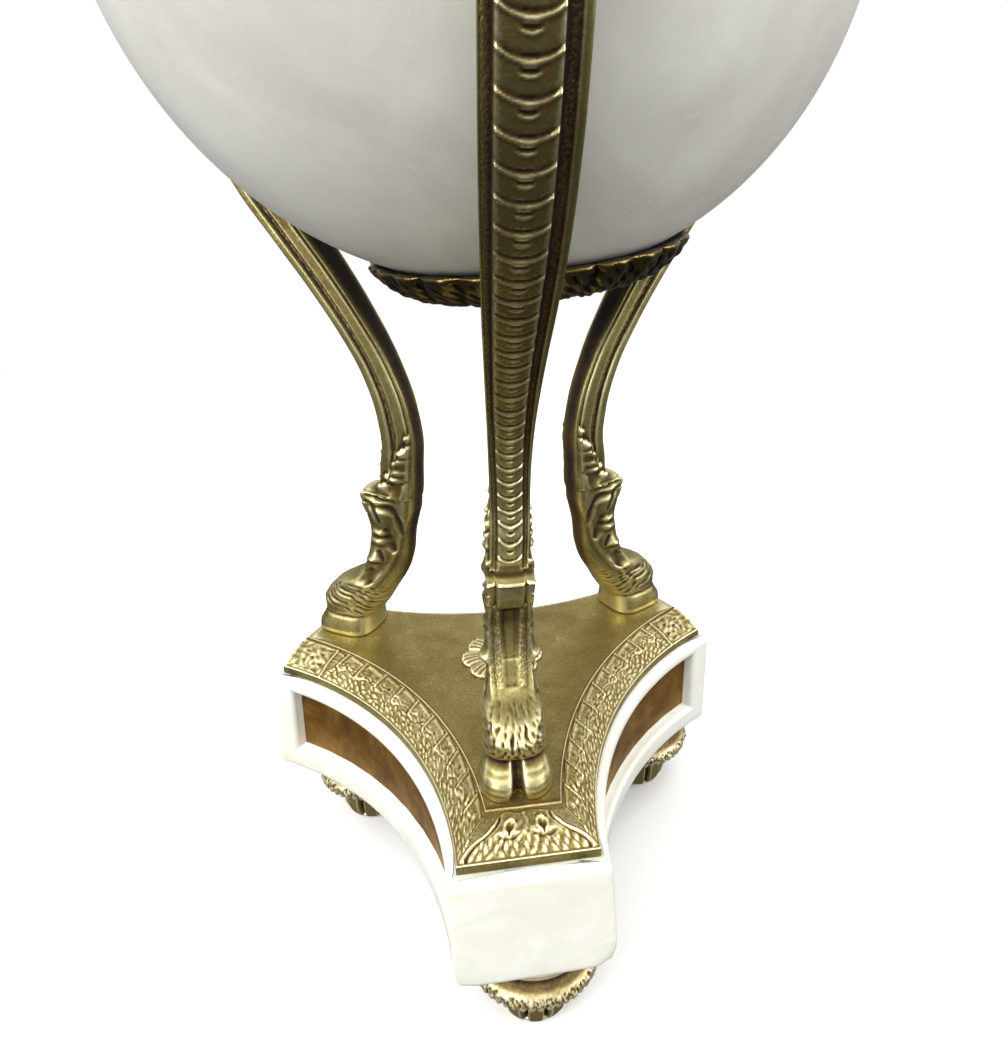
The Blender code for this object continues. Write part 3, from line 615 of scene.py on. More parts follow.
def plate_points():
    """Rings of points from under the plate, up its edge and over the border, and the dirt and painted shade
    on each.
    """
    right_outer, right_inner, share = border_lines()
    left_outer, left_inner = (line[::-1] * (-1.0, 1.0) for line in (right_outer, right_inner))
    back_side = np.split(triangle_outline(PLATE_CUT_DISTANCE, PLATE_ARC_RADIUS), 3)[1]
    right_cut = np.linspace(right_inner[-1], back_side[0], CUT_COLUMNS)[:-1]
    left_cut = np.linspace(back_side[-1], left_inner[0], CUT_COLUMNS)[1:]
    plain = np.concatenate((right_cut, back_side, left_cut))
    front_share = np.linspace(0, 1, FRONT_COLUMNS + 2)[1:-1]
    front_outer = left_outer[-1] + (right_outer[0] - left_outer[-1]) * front_share[:, None]
    front_inner = left_inner[-1] + (right_inner[0] - left_inner[-1]) * front_share[:, None]
    outer = np.concatenate((right_outer, plain, left_outer, front_outer))
    inner = np.concatenate((right_inner, plain, left_inner, front_inner))
    zone = np.repeat((SIDE, PLAIN, SIDE, FRONT), (BORDER_COLUMNS, len(plain), BORDER_COLUMNS, FRONT_COLUMNS))
    run = np.concatenate((share, np.zeros(len(plain)), share[::-1], front_share))
    length = np.linalg.norm(np.diff((right_outer + right_inner) / 2, axis=0), axis=1).sum() / MM
    bottom, top = plate_low[2], plate_high[2]
    edge = bottom + PLATE_EDGE
    rings = [(outer * share_in, np.full(len(outer), bottom)) for share_in in (0.5, 0.8, 1.0)]
    rings.append((outer, np.full(len(outer), edge - 0.0003)))
    under = len(rings)
    grit = np.random.default_rng(11).normal(0, 1.0, (BORDER_ROWS, len(outer)))
    grit = (grit + np.roll(grit, 1, axis=1) + np.roll(grit, 1, axis=0)) / 1.7
    for row, depth in enumerate(np.linspace(0, 1, BORDER_ROWS)):
        swell = glide((0.0, 0.55, 1.0), (0.0, 0.80, 1.0), np.array((depth,)))[0]
        level = edge + (top - edge) * np.where(zone == PLAIN, ease(depth, 0.0, 0.12), swell)
        carving = (side_relief(run, depth, length), front_relief(run, depth))
        relief = np.select((zone == SIDE, zone == FRONT), carving)
        fade = between(depth, 0.0, 0.03, 0.99, 1.0) * (zone != PLAIN)
        matted = 0.022 * (0.05 < depth < 0.80)
        rings.append((outer * (1 - depth) + inner * depth, level + (relief + matted * grit[row]) * fade * MM))
    rings += [(inner * (1 - shrink), np.full(len(outer), top)) for shrink in (0.03, 0.1, 0.25, 0.45, 0.7)]
    rows = np.array([np.column_stack(ring) for ring in rings])
    rows[:, :, :2] += PLINTH_CENTRE
    share_in = np.concatenate((np.zeros(under), np.linspace(0, 1, BORDER_ROWS), np.full(5, 2.0)))[:, None]
    carved = (zone != PLAIN)[None, :] * between(share_in, 0.02, 0.05, 0.82, 0.84)
    rim_row = (np.arange(len(rows)) < under)[:, None]
    # Painted shade: the plate's underside and upright outer edge are painted dark, standing in for the dark
    # reflection the edge shows; the carved border is a little paler than the plain parts.
    dirt_and_painted_shade = -0.07 * carved + 0.03 * (1 - carved) + 0.64 * rim_row
    return rows, dirt_and_painted_shade


# Matted gilding: a fine grain of half a millimetre keeps the flat field from shining.
plate_gilt = gilding("matted_gilt_plate", "fff2c4", "9c8e57", "6b5228", "2e1e0e", patch_mm=11, shine=0.41,
                     grain_mm=0.5, grain_depth=0.05)
plate_rows, plate_dirt_and_painted_shade = plate_points()
plate = skin("chased_plate", plate_rows, plate_gilt, plate_dirt_and_painted_shade)
wear_and_shade_map(plate, passes=(3, 8), gain=6.5)
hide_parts("base_plate")
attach(plate, "root")


# Rosette: a low flower of eight ribbed leaves round a small bud, lying in the middle of the plate. It is
# cast in brass, chased and gilt, and held by a screw from below.
rosette_low, rosette_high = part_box("plate_rosette")
ROSETTE_LEAVES = 8


def rosette_points():
    """Rings of points from the flower's rim to its middle, with lobed leaf tips and fine ribs."""
    centre = [(low + high) / 2 for low, high in zip(rosette_low[:2], rosette_high[:2])]
    radius = (rosette_high[0] - rosette_low[0]) / 2
    tall = rosette_high[2] - rosette_low[2]
    angle = np.linspace(0, TAU, ROSETTE_LEAVES * 40, endpoint=False)
    leaf = np.abs(np.cos(ROSETTE_LEAVES * angle / 2))
    reach = radius * (0.80 + 0.20 * leaf ** 0.5)
    rows = [turned(0.5 * reach, angle, rosette_low[2], centre)]
    for share in np.concatenate(([1.0], np.linspace(1.0, 0.02, 46))):
        ribs = 0.10 * np.cos(ROSETTE_LEAVES * 5 * angle) * ease(share, 0.2, 0.5)
        dome = 0.25 + 0.75 * math.sin(math.pi * min(1.0, (1 - share) * 1.25 + 0.1))
        gap = -0.55 * (1 - leaf) ** 3 * ease(share, 0.15, 0.4)
        bud = 0.5 * (1 - ease(share, 0.10, 0.22)) - 0.4 * bump_at(share, 0.24, 0.05)
        level = np.clip(dome * 0.7 + ribs + gap + bud, 0.05, 1.0) * (len(rows) > 1)
        rows.append(turned(reach * share, angle, rosette_low[2] + tall * level, centre))
    return np.array(rows)


rosette = skin("leaf_rosette", rosette_points(), foot_gilt)
wear_and_shade_map(rosette, gain=5.0)
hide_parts("plate_rosette")
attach(rosette, "root")


# Legs: three tall goat's legs, each cast in one piece of brass, chased and gilt. A bar with a chain of
# husks down its front bends in to a scrolled knee, an acanthus leaf wraps the shin, and a hairy fetlock
# stands on a cloven hoof. They hold the ring and the bowl, and are screwed down through the plate.
LEG_UPPER = (
    # distance from the axis, height above the marble, half width, half depth and how square, in mm
    (46.9, 28.8, 6.8, 8.6, 3.0), (43.4, 33.3, 6.2, 7.2, 4.0), (41.2, 39.2, 5.9, 6.6, 5.0),
    (40.1, 46.1, 5.7, 6.3, 6.0), (40.1, 50.6, 5.7, 7.4, 7.0), (40.5, 53.2, 5.8, 8.5, 8.0),
    (40.6, 55.8, 5.9, 9.3, 8.0), (40.5, 58.2, 5.9, 9.4, 8.0), (40.2, 59.3, 5.9, 9.2, 8.0),
    (39.3, 59.8, 5.9, 8.5, 8.0), (37.6, 60.0, 5.9, 6.9, 8.0), (36.8, 60.8, 5.9, 6.2, 8.0),
    (36.2, 64.0, 5.8, 5.9, 10.0), (35.8, 70.4, 5.8, 5.8, 10.0), (35.0, 78.0, 5.8, 5.5, 10.0),
    (36.3, 89.2, 5.9, 5.2, 10.0),
    (41.3, 104.4, 6.4, 4.7, 10.0), (49.4, 118.9, 7.2, 4.5, 10.0), (58.3, 131.9, 8.0, 4.5, 10.0),
    (67.7, 144.3, 8.8, 4.5, 10.0), (78.7, 158.9, 9.5, 4.7, 10.0), (85.1, 169.7, 9.9, 4.7, 10.0),
    (93.1, 186.0, 10.2, 4.8, 10.0), (98.8, 202.3, 10.3, 4.9, 10.0), (102.8, 218.6, 10.3, 4.9, 10.0),
    (104.4, 231.6, 10.4, 5.1, 10.0), (104.7, 239.0, 10.8, 5.6, 10.0), (104.7, 246.9, 10.9, 5.6, 10.0),
)
SIDE_HOOF = (
    (60.2, 6.1, 9.9, 10.3, 3.4), (60.2, 8.4, 9.8, 10.2, 3.2), (59.3, 11.6, 9.0, 9.5, 2.9),
    (58.6, 13.6, 8.4, 10.3, 2.6), (56.9, 18.3, 8.5, 12.1, 2.4), (53.1, 23.5, 8.0, 11.5, 2.4),
)
FRONT_HOOF = (
    (59.4, 6.1, 10.2, 9.4, 2.7), (59.5, 8.2, 10.2, 9.6, 2.7), (59.0, 10.6, 9.8, 9.1, 2.8),
    (57.8, 12.6, 9.1, 8.0, 2.8), (56.4, 14.6, 8.5, 7.0, 2.7), (56.6, 17.0, 8.6, 8.6, 2.5),
    (56.5, 19.8, 8.6, 10.3, 2.4), (55.2, 22.4, 8.4, 11.2, 2.4), (52.4, 25.2, 7.8, 10.9, 2.5),
)
KNEE_HEIGHT = 60.0
BACK_TAPER = 0.72
LEG_INSET_FADE = 190.0
FRONT_TWIST = 0.10
FRONT_SWAY = 1.1
SMOOTH_ROWS = 12
FRONT_POINTS = 48
SIDE_POINTS = 38
BACK_POINTS = 10
HUSK_SPACING = (5.2, 7.0)
STRIP_SHARE = 0.60
FILLET_SHARE = 0.87
LEAF_LOBE = 5.2
LEAF_CUTS = (
    # middle (share of the depth from back to front, height), its end towards the back, half width in mm
    ((0.42, 31.8), (-0.02, 27.8), 2.5), ((0.04, 47.4), (-0.44, 41.0), 2.0),
    ((0.28, 59.0), (-0.44, 54.0), 2.0), ((-0.44, 54.0), (-0.80, 47.0), 1.3),
    ((0.46, 55.4), (0.34, 50.0), 1.2), ((0.34, 40.2), (0.02, 37.0), 0.9),
    ((-0.36, 65.6), (-0.74, 66.8), 0.35),
)


def steady(direction, share):
    """Directions turned towards straight up by a share from 0 to 1."""
    return direction * (1 - share)[:, None] + np.array((0.0, 1.0)) * share[:, None]


def leg_rows(stations, rise, inset, lean, spacing, rng):
    """Rings of points up one leg in its own frame in mm, outward, sideways and up, and the dirt and painted
    shade on each.
    """
    reach, height, half_width, half_depth, square = np.array(stations).T
    reach = reach - inset * np.clip(1 - height / LEG_INSET_FADE, 0, 1)
    path = np.stack((reach, height), axis=1)
    tangent = np.gradient(path, axis=0)
    tangent /= np.linalg.norm(tangent, axis=1)[:, None]
    tangent = steady(tangent, 1 - ease(height, 62.0, 80.0))
    tangent /= np.linalg.norm(tangent, axis=1)[:, None]
    spine = path - np.stack((tangent[:, 1], -tangent[:, 0]), axis=1) * half_depth[:, None]
    run = np.concatenate(([0.0], np.cumsum(np.linalg.norm(np.diff(spine, axis=0), axis=1))))
    knee = np.interp(KNEE_HEIGHT, spine[:, 1], run)
    at = np.concatenate((np.arange(0.0, knee - 2, 0.36), np.arange(knee - 2, knee + 1, 0.22),
                         np.arange(knee + 1, run[-1], spacing), (run[-1],)))
    back = np.stack([glide(run, spine[:, axis], at) for axis in range(2)], axis=1)
    wide, deep, power = (glide(run, values, at) for values in (half_width, 2 * half_depth, square))
    flow = np.gradient(back, at, axis=0)
    window = np.ones(2 * SMOOTH_ROWS + 1) / (2 * SMOOTH_ROWS + 1)
    padded = np.pad(flow, ((SMOOTH_ROWS, SMOOTH_ROWS), (0, 0)), mode="edge")
    flow = np.stack([np.convolve(padded[:, axis], window, mode="valid") for axis in range(2)], axis=1)
    flow = steady(flow, 1 - ease(back[:, 1], 36.0, 66.0))
    flow = steady(flow, ease(back[:, 1], 222.0, 238.0))
    flow /= np.linalg.norm(flow, axis=1)[:, None]
    across = np.stack((flow[:, 1], -flow[:, 0]), axis=1)
    # One loop round the unit square: the left side, the front, the right side and the back.
    front = np.linspace(-1, 1, FRONT_POINTS, endpoint=False)
    side = np.linspace(-1, 1, SIDE_POINTS, endpoint=False)
    rear = np.linspace(1, -1, BACK_POINTS, endpoint=False)
    square_x = np.concatenate((np.full(SIDE_POINTS, -1.0), front, np.full(SIDE_POINTS, 1.0), rear))
    square_y = np.concatenate((side, np.full(FRONT_POINTS, 1.0), -side, np.full(BACK_POINTS, -1.0)))
    n = power[:, None]
    norm = (np.abs(square_x) ** n + np.abs(square_y) ** n) ** (1 / n)
    x = square_x / norm
    y = square_y / norm
    half = (deep / 2)[:, None]
    width = wide[:, None]
    lean_x = np.sign(x) * np.abs(x) ** (n - 1) / width
    lean_y = np.sign(y) * np.abs(y) ** (n - 1) / half
    length = np.hypot(lean_x, lean_y)
    lean_x, lean_y = lean_x / length, lean_y / length
    up = back[:, 1][:, None] + 0 * x
    along = (at - knee)[:, None] + 0 * x
    face = ease(lean_y, 0.35, 0.75)
    flank = ease(np.abs(lean_x), 0.45, 0.8)
    bar = ease(along, -0.2, 0.8)
    strip = bar_front(x + FRONT_TWIST * lean * ease(up, 70.0, 130.0), along, rng)
    lift = bar * (face * strip + flank * bar_flank(y, up, rng))
    lift = lift + (1 - bar) * face * shin_front(x * width, x, up, rng)
    lift = lift + hoof_and_hair(x, y, up, up - rise, face, rng)
    leaf, spread, shadow = acanthus(x, y, up, half, flank)
    lift = lift + leaf
    taper = 1 - (1 - BACK_TAPER) * (1 - y) / 2 * ease(up, 24.0, 36.0)
    out = half * (1 + y) + lift * lean_y
    sway = FRONT_SWAY * lean * (1 - ease(up, 45.0, 80.0))
    sideways = width * x * taper + lift * lean_x + spread - sway
    outward = back[:, 0][:, None] + across[:, 0][:, None] * out
    level = back[:, 1][:, None] + across[:, 1][:, None] * out
    behind = ease(-lean_y, 0.5, 0.8) * ease(up, 20.0, 30.0)
    gutter = bar * face * between(np.abs(x), 0.57, 0.62, 0.84, 0.88)
    # Painted light: the hoof, the knee's face and the lower front of the bar are painted paler, standing in
    # for light they catch.
    painted_light = -0.02 * (1 - ease(up, 26.0, 34.0)) - 0.05 * face * bump_at(up, 57.0, 4.0) - \
        0.16 * bar * face * (1 - ease(up, 78.0, 118.0))
    # Painted shade in the coronet groove and along the hoof's foot where it meets the plate.
    coronet_shade = 0.22 * bump_at(up - rise, 12.2, 0.9) * face + 0.10 * (1 - ease(up, 9.0, 13.0))
    # Painted shade: the leg is painted darker with height above 90 mm, for the dark reflection of its upper
    # bar; it is also darker on its back, in the bar's grooves and a little on the flanks.
    dirt_and_painted_shade = 0.50 * behind + 0.05 * flank * ease(up, 30.0, 40.0) + 0.10 * gutter + 0.12 * ease(up, 90.0, 170.0)
    dirt_and_painted_shade = dirt_and_painted_shade + painted_light + shadow + coronet_shade
    # Painted shade on the knee's set-back side cheeks.
    dirt_and_painted_shade = dirt_and_painted_shade + 0.14 * face * bump_at(up, 56.0, 4.0) * ease(np.abs(x), 0.58, 0.72)
    return np.stack((outward, sideways, level), axis=2), dirt_and_painted_shade


def bar_front(x, along, rng):
    """Husk chain between two dark grooves and two plain fillets."""
    side = np.abs(x)
    strip = 1 - ease(side, STRIP_SHARE - 0.03, STRIP_SHARE + 0.01)
    fillet = ease(side, FILLET_SHARE - 0.02, FILLET_SHARE + 0.02)
    groove = (1 - strip) * (1 - fillet)
    low, high = HUSK_SPACING
    growth = (high - low) / 190.0
    share = np.clip(side / STRIP_SHARE, 0, 1)
    shifted = np.maximum(along + 2.2 * (1 - share ** 2), -5.0)
    spacing = low + growth * shifted
    step = (np.log1p(growth * shifted / low) / growth) % 1.0 * spacing
    under = 1 - ease(share, 0.12, 0.34)
    worn = 0.75 + 0.25 * np.sin(x * 7.0 + along * 1.7) * np.sin(along * 0.9 + 2.0)
    arc = worn * 0.42 * (bump_at(step, 0.3, 0.48) + bump_at(step, spacing + 0.3, 0.48))
    arc = arc - (0.26 + 0.30 * under) * bump_at(step, 1.2, 0.48)
    below = spacing - step
    small_arc = under * (0.26 * bump_at(below, 0.40, 0.38) - 0.55 * bump_at(below, 1.25, 0.42)) + \
        (1 - ease(share, 0.20, 0.42)) * 0.30 * bump_at(below + 1.2 * share, 2.05, 0.40)
    knob = 0.32 * bump_at(step, 0.2, 0.9) * bump_at(share, 0.86, 0.15)
    dome = 0.45 * (1 - share ** 2)
    chain = ease(along, 2.8, 4.2)
    husks = chain * (arc + small_arc + knob + rng.normal(0, 0.02, x.shape))
    return strip * (0.9 * ease(along, 0.5, 3.0) + dome + husks) - 0.55 * groove * ease(along, 0.0, 1.5) + \
        groove * rng.normal(0, 0.05, x.shape)


def bar_flank(y, up, rng):
    """Fillet, narrow matted groove, broad fillet and a second groove down each side of the bar."""
    tail = 0.21 * (1 - ease(up, 66.0, 84.0))
    groove = between(y, -0.04 + tail, 0.04 + tail, 0.36 - tail * 0.6, 0.44 - tail * 0.6)
    second = between(y, -0.98, -0.92, -0.80, -0.72)
    return -(groove * 1.1 + second * 0.8) * ease(up, 62.0, 70.0) + groove * rng.normal(0, 0.06, y.shape)


def shin_front(across, x, up, rng):
    """Cushion of the scrolled knee above a hollow channel between matted ridges."""
    side = np.abs(x)
    knee = ease(up, 50.4, 51.8)
    cushion = knee * 0.6 * (1 - (np.clip(side, 0, 0.66) / 0.66) ** 2)
    low_cheek = between(up, 51.0, 53.0, 61.6, 62.6)
    cheek = -1.9 * low_cheek * ease(side, 0.56, 0.82)
    shin = between(up, 30.6, 31.0, 50.0, 51.2)
    half_channel = 2.1 + 0.5 * ease(up, 33.0, 47.0)
    depth = 0.45 + 1.1 * ease(up, 34.0, 47.0) + 0.25 * ease(up, 36.8, 37.0)
    channel = -depth * (1 - ease(np.abs(across), half_channel - 1.1, half_channel + 0.5))
    ridge = 0.22 * bump_at(np.abs(across), half_channel + 0.8, 0.6)
    matted = ease(np.abs(across), half_channel, half_channel + 0.4) * rng.normal(0.0, 0.06, x.shape)
    return cushion + cheek + shin * (channel + ridge + matted)


def hoof_and_hair(x, y, up, raised, face, rng):
    """Short cut hairs on the fetlock, a soft fringe over the hoof, and two round toes with a cleft."""
    side = np.abs(x)
    cleft_half = 0.10 + 0.07 * (1 - ease(up, 6.0, 9.0))
    cleft = -2.4 * (1 - ease(side, cleft_half, cleft_half + 0.10))
    round_toe = -2.6 * (1 - np.sqrt(np.clip(1 - ((side - 0.54) / 0.56) ** 2, 0.0, 1.0)))
    bands = 0.05 * np.sin(up * 4.5)
    toes = (1 - ease(raised, 11.4, 13.6)) * (cleft + round_toe + bands + 0.2) * face
    place = np.where(y > 0, x, np.sign(x) * (1 - y * 0.6))
    hairs = np.zeros_like(x)
    for level, count, wide, long, deep in ((15.6, 13, 0.055, 0.80, 0.42), (17.5, 12, 0.050, 0.85, 0.52),
                                           (19.3, 13, 0.046, 0.75, 0.52), (21.0, 14, 0.044, 0.62, 0.52),
                                           (22.5, 14, 0.044, 0.52, 0.50), (23.9, 14, 0.044, 0.45, 0.46),
                                           (25.1, 13, 0.044, 0.40, 0.34)):
        for index in range(count):
            centre = (index + 0.5 + rng.uniform(-0.34, 0.34)) / count * 3.2 - 1.6
            height = level + rng.uniform(-0.6, 0.6)
            slanted = place - centre + (centre * 0.06 + 0.02) * (raised - height)
            dent = bump_at(raised, height, long)
            hairs -= deep * bump_at(slanted, 0.0, wide) * dent
            hairs += 0.35 * deep * bump_at(slanted, 0.085, 0.05) * dent
    holes = sum(-1.5 * bump_at(x, where, 0.085) * bump_at(raised, height, 1.2)
                for where, height in ((-0.16, 19.4), (0.36, 20.6))) * face
    fringe = 0.14 * bump_at(raised, 13.9 + 0.4 * np.cos(place * 17), 0.6)
    shelf = -0.25 * bump_at(raised, 12.9, 0.6)
    zone = between(raised, 12.6, 13.6, 26.0, 27.5)
    return toes + shelf + zone * (hairs + holes + fringe)


def acanthus(x, y, up, half, flank):
    """Lobed leaf over the shin's sides, how far its edge curls sideways, and the shadow in its hollows."""
    back_way, above = (0.63 - y) * half, up - 66.0
    ahead = 0.41 * above - 0.91 * back_way
    lobe = ((0.41 * back_way + 0.91 * above + 0.6 * ahead + 6.0) / LEAF_LOBE) % 1.0
    tooth = 2.3 * between(lobe, 0.0, 0.45, 0.62, 1.0) - 1.1 - ahead
    fold = (0.30 * bump_at(lobe, 0.45, 0.22) - 0.55 * bump_at(lobe, 0.97, 0.09)
            - 0.55 * bump_at(lobe, -0.03, 0.09)) * bump_at(tooth, 1.2, 2.2)
    reach = -0.98 + 0.5 * (1 - ease(up, 28.0, 52.0))
    inside = ease(tooth, 0.0, 0.9) * ease(up, 22.5, 27.0) * ease(y, reach, reach + 0.30)
    cuts = np.zeros_like(x)
    shadow = np.zeros_like(x)
    for (start_y, start_up), (end_y, end_up), wide in LEAF_CUTS:
        run_y, run_up = (end_y - start_y) * half, end_up - start_up
        length = np.hypot(run_y, run_up)
        off_y, off_up = (y - start_y) * half, up - start_up
        t = np.clip((off_y * run_y + off_up * run_up) / length ** 2, 0.0, 1.0)
        away = np.hypot(off_y - run_y * t, off_up - run_up * t)
        girth = wide * (0.40 + 0.60 * np.sin(np.pi * (0.15 + 0.75 * t)))
        cuts = np.minimum(cuts, -0.90 * min(1.0, wide) * (1 - ease(away, 0.0, girth * 1.4)))
        shadow = np.maximum(shadow, 0.13 * (1 - ease(away, 0.0, girth * 1.3)))
    leaflet = 0.5 * np.exp(-(((y + 0.60) / 0.20) ** 2 + ((up - 60.0) / 5.5) ** 2) ** 2)
    waves = 0.10 * np.sin(up * 0.9 + y * 5.0) * np.sin(y * 7.0 - up * 0.35)
    leaf = flank * inside * (0.9 + cuts + leaflet + fold + waves)
    pitch = (up - 27.0 + 1.2 * np.sin(up * 0.55)) / 4.6
    bulge = 0.30 + 0.70 * ease(pitch % 1.0, 0.0, 0.45) * (1 - ease(pitch % 1.0, 0.45, 0.92))
    curl = between(up, 33.0, 37.5, 74.0, 80.0) * bump_at(y, 0.26 - (up - 50) * 0.018, 0.42)
    heavy = 0.85 + 0.75 * bump_at(up, 38.5, 3.0)
    spread = np.sign(x) * flank * curl * bulge * heavy * 1.75
    return leaf, spread, shadow * flank * inside


# Chased gilding: bright on the edges, with brown dirt in the grooves, darker behind the leg, and painted
# shade and painted light along each leg.
leg_gilt = gilding("chased_gilt_leg", "d6cc9e", "8f8656", "5f4825", "20140a", patch_mm=10, shine=0.44,
                   grain_mm=0.35, grain_depth=0.05)
marble_top = plinth_high[2]
# Each leg's turn, hoof, the height of its hoof's pattern, how far in it stands, its lean and its row spacing.
for name, azimuth, hoof, rise, inset, lean, spacing in (
        ("leg_front", 270, FRONT_HOOF, 3.0, 0.0, 1.0, 0.40),
        ("leg_right", 30, SIDE_HOOF, 0.0, 1.8, 0.0, 0.82),
        ("leg_left", 150, SIDE_HOOF, 0.0, 1.8, 0.0, 0.82)):
    turn = math.radians(azimuth)
    leg_shape, dirt_and_painted_shade = leg_rows(hoof + LEG_UPPER, rise, inset, lean, spacing, np.random.default_rng(3))
    leg_shape = leg_shape * MM
    rows = np.stack((leg_shape[:, :, 0] * math.cos(turn) - leg_shape[:, :, 1] * math.sin(turn),
                     leg_shape[:, :, 0] * math.sin(turn) + leg_shape[:, :, 1] * math.cos(turn),
                     leg_shape[:, :, 2] + marble_top), axis=2)
    leg = skin(name.replace("leg", "goat_leg"), rows, leg_gilt, dirt_and_painted_shade)
    wear_and_shade_map(leg, gain=6.0)
    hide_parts(name)
    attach(leg, "root")


# Bowl: half an egg of white marble with a true wall and an open top, turned on a lathe and polished. It sits
# in the leaf cup, between the three legs.
bowl_low, bowl_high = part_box("bowl")
BOWL_RADIUS = 0.0986
BOWL_HALF_HEIGHT = 0.1001
BOWL_WALL = 0.0076
bowl_centre = bowl_low[2] + BOWL_HALF_HEIGHT


def apply_all(piece):
    """Apply every modifier of one piece."""
    bpy.context.view_layer.objects.active = piece
    for step in list(piece.modifiers):
        bpy.ops.object.modifier_apply(modifier=step.name)


def settle(piece):
    """Apply the object's place, turn and size to its mesh."""
    bpy.ops.object.select_all(action="DESELECT")
    bpy.context.view_layer.objects.active = piece
    piece.select_set(True)
    bpy.ops.object.transform_apply(location=True, rotation=True, scale=True)
    piece.select_set(False)


bpy.ops.object.select_all(action="DESELECT")
bpy.ops.mesh.primitive_uv_sphere_add(segments=160, ring_count=96, radius=1.0, location=(0, 0, bowl_centre))
bowl = bpy.context.object
bowl.name = "turned_bowl"
bowl.scale = (BOWL_RADIUS, BOWL_RADIUS, BOWL_HALF_HEIGHT)
settle(bowl)
edit(bowl)
bpy.ops.mesh.bisect(plane_co=(0, 0, bowl_high[2]), plane_no=(0, 0, 1), clear_outer=True)
bpy.ops.object.mode_set(mode="OBJECT")
wall = bowl.modifiers.new("wall", "SOLIDIFY")
wall.thickness = BOWL_WALL
wall.offset = -1.0
apply_all(bowl)
bowl.data.shade_smooth()
# Polished marble: glossier than the plinth, with clouds about 60 mm wide.
bowl_marble = marble("polished_white_marble", "ecece5", "d8d6cd", "c2bbab", 60, 0.20, 0.12)
bowl.data.materials.append(bowl_marble)
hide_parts("bowl")
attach(bowl, "root")


# Leaf cup: a dark gilt cast cup that the bowl's bottom sits in, with a lip of overlapping pointed leaves.
# It has slipped a little askew on the bowl.
CUP_TILT = math.radians(-6.5)
CUP_LEAVES = 24


def cup_points():
    """Rings of points from the lip's inner edge, over the leaves, to the bottom's middle."""
    angle = np.linspace(0, TAU, CUP_LEAVES * 14, endpoint=False)
    leaf = np.abs(np.sin(CUP_LEAVES * angle / 2))
    rings = [(degrees, thick * MM, 0.012) for degrees, thick in ((25.4, 0.5), (26.3, 0.7), (26.8, 1.4))]
    for share in np.linspace(0, 1, 46):
        thick = glide((0, 0.1, 0.25, 0.5, 1.0), (2.0, 4.6, 6.2, 4.6, 3.6), np.array((share,)))[0]
        slant = np.abs(np.sin(CUP_LEAVES * (angle + share * 0.30) / 2))
        lumps = np.cos(CUP_LEAVES * 2.5 * (angle - share * 0.5))
        lumps = lumps * np.cos(share * 38.0 + 1.5 * np.sin(angle * 7.0))
        rib = (1 - ease(share, 0.34, 0.48)) * (0.8 * (slant ** 0.5 - 0.6) + 0.40 * lumps)
        rings.append((26.8 - 25.0 * share, (thick + rib) * MM, 0.03 * (1 - ease(share, 0.0, 0.3))))
    rows = []
    for degrees, thick, scallop in rings:
        down = math.radians(degrees) * (1 + scallop * (leaf - 0.5))
        reach = BOWL_HALF_HEIGHT + thick
        rows.append(turned(reach * np.sin(down), angle, -reach * np.cos(down)))
    x, y, z = np.moveaxis(np.array(rows), 2, 0)
    turned_x = x * math.cos(CUP_TILT) + z * math.sin(CUP_TILT)
    turned_z = -x * math.sin(CUP_TILT) + z * math.cos(CUP_TILT)
    return np.stack((turned_x, y, turned_z + bowl_centre), axis=2)


# Darkened gilding: nearly black, with dull gold left on the leaves' edges.
cup_gilt = gilding("darkened_gilt_cup", "7c6a42", "271e13", "120c07", "040302", patch_mm=7, shine=0.24,
                   grain_mm=0.4)
cup = skin("leaf_cup", cup_points(), cup_gilt)
wear_and_shade_map(cup, gain=4.0)
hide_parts("calyx")
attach(cup, "root")


# Gallery ring: a cast and turned gilt ring lying on the three leg blocks round the bowl's mouth. Its outside
# has a bead between two plain fillets and a hollow band pierced by slots; the lid drops into its ledge.
ring_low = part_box("gallery_ring")[0]
RING_BEADS = 96
RING_OUTLINE = (
    # radius and height in mm above the ring's underside, once round the section from the lower inner edge
    (88.1, 0.1), (106.5, 0.1), (109.6, 0.1), (110.8, 0.4), (111.7, 1.1), (111.8, 2.0), (111.2, 2.7),
    (109.2, 3.0), (107.4, 3.6), (106.2, 4.4), (105.6, 5.6), (105.5, 6.9), (105.6, 8.2), (106.2, 9.2),
    (107.0, 9.7), (107.9, 10.2), (108.2, 10.9), (108.2, 11.6), (108.1, 12.4), (107.7, 12.8), (107.2, 12.9),
    (105.0, 12.9), (103.0, 12.9), (101.0, 12.9), (100.4, 12.8), (100.2, 12.4), (100.1, 8.6), (99.8, 8.0),
    (96.0, 7.9), (88.6, 7.9), (88.1, 7.5), (88.1, 4.0),
)
RING_GRAIN = 0.0011
RING_OPENINGS = 12
OPENING_DEPTH = 0.030
OPENING_WIDTH = 0.0148
OPENING_HEIGHT = 0.0026
OPENING_ROUNDING = 0.0012
OPENING_REACH = 0.103
OPENING_LEVEL = 0.0063


def ring_points():
    """Rings of points once round the section, beaded under the upper fillet and cut on the lower roll."""
    outline = np.array(RING_OUTLINE) * MM
    section = walk(outline, np.arange(0.0, loop_lengths(outline)[1], RING_GRAIN))
    angle = np.linspace(0, TAU, RING_BEADS * 6, endpoint=False)
    radii, angles = np.meshgrid(section[:, 0], angle, indexing="ij")
    up = section[:, 1][:, None] / MM + 0 * radii
    bead = np.abs(np.cos(RING_BEADS * angles / 2)) ** 0.7 - 0.5
    cut = 0.5 * (np.abs(np.cos(RING_BEADS * 0.5 * angles + up * 0.5)) - 0.6)
    relief = (radii > 0.1045) * bump_at(up, 9.6, 0.7) * bead + (radii > 0.1100) * bump_at(up, 1.6, 0.9) * cut
    return turned(radii + relief * MM, angles, up * MM + ring_low[2])


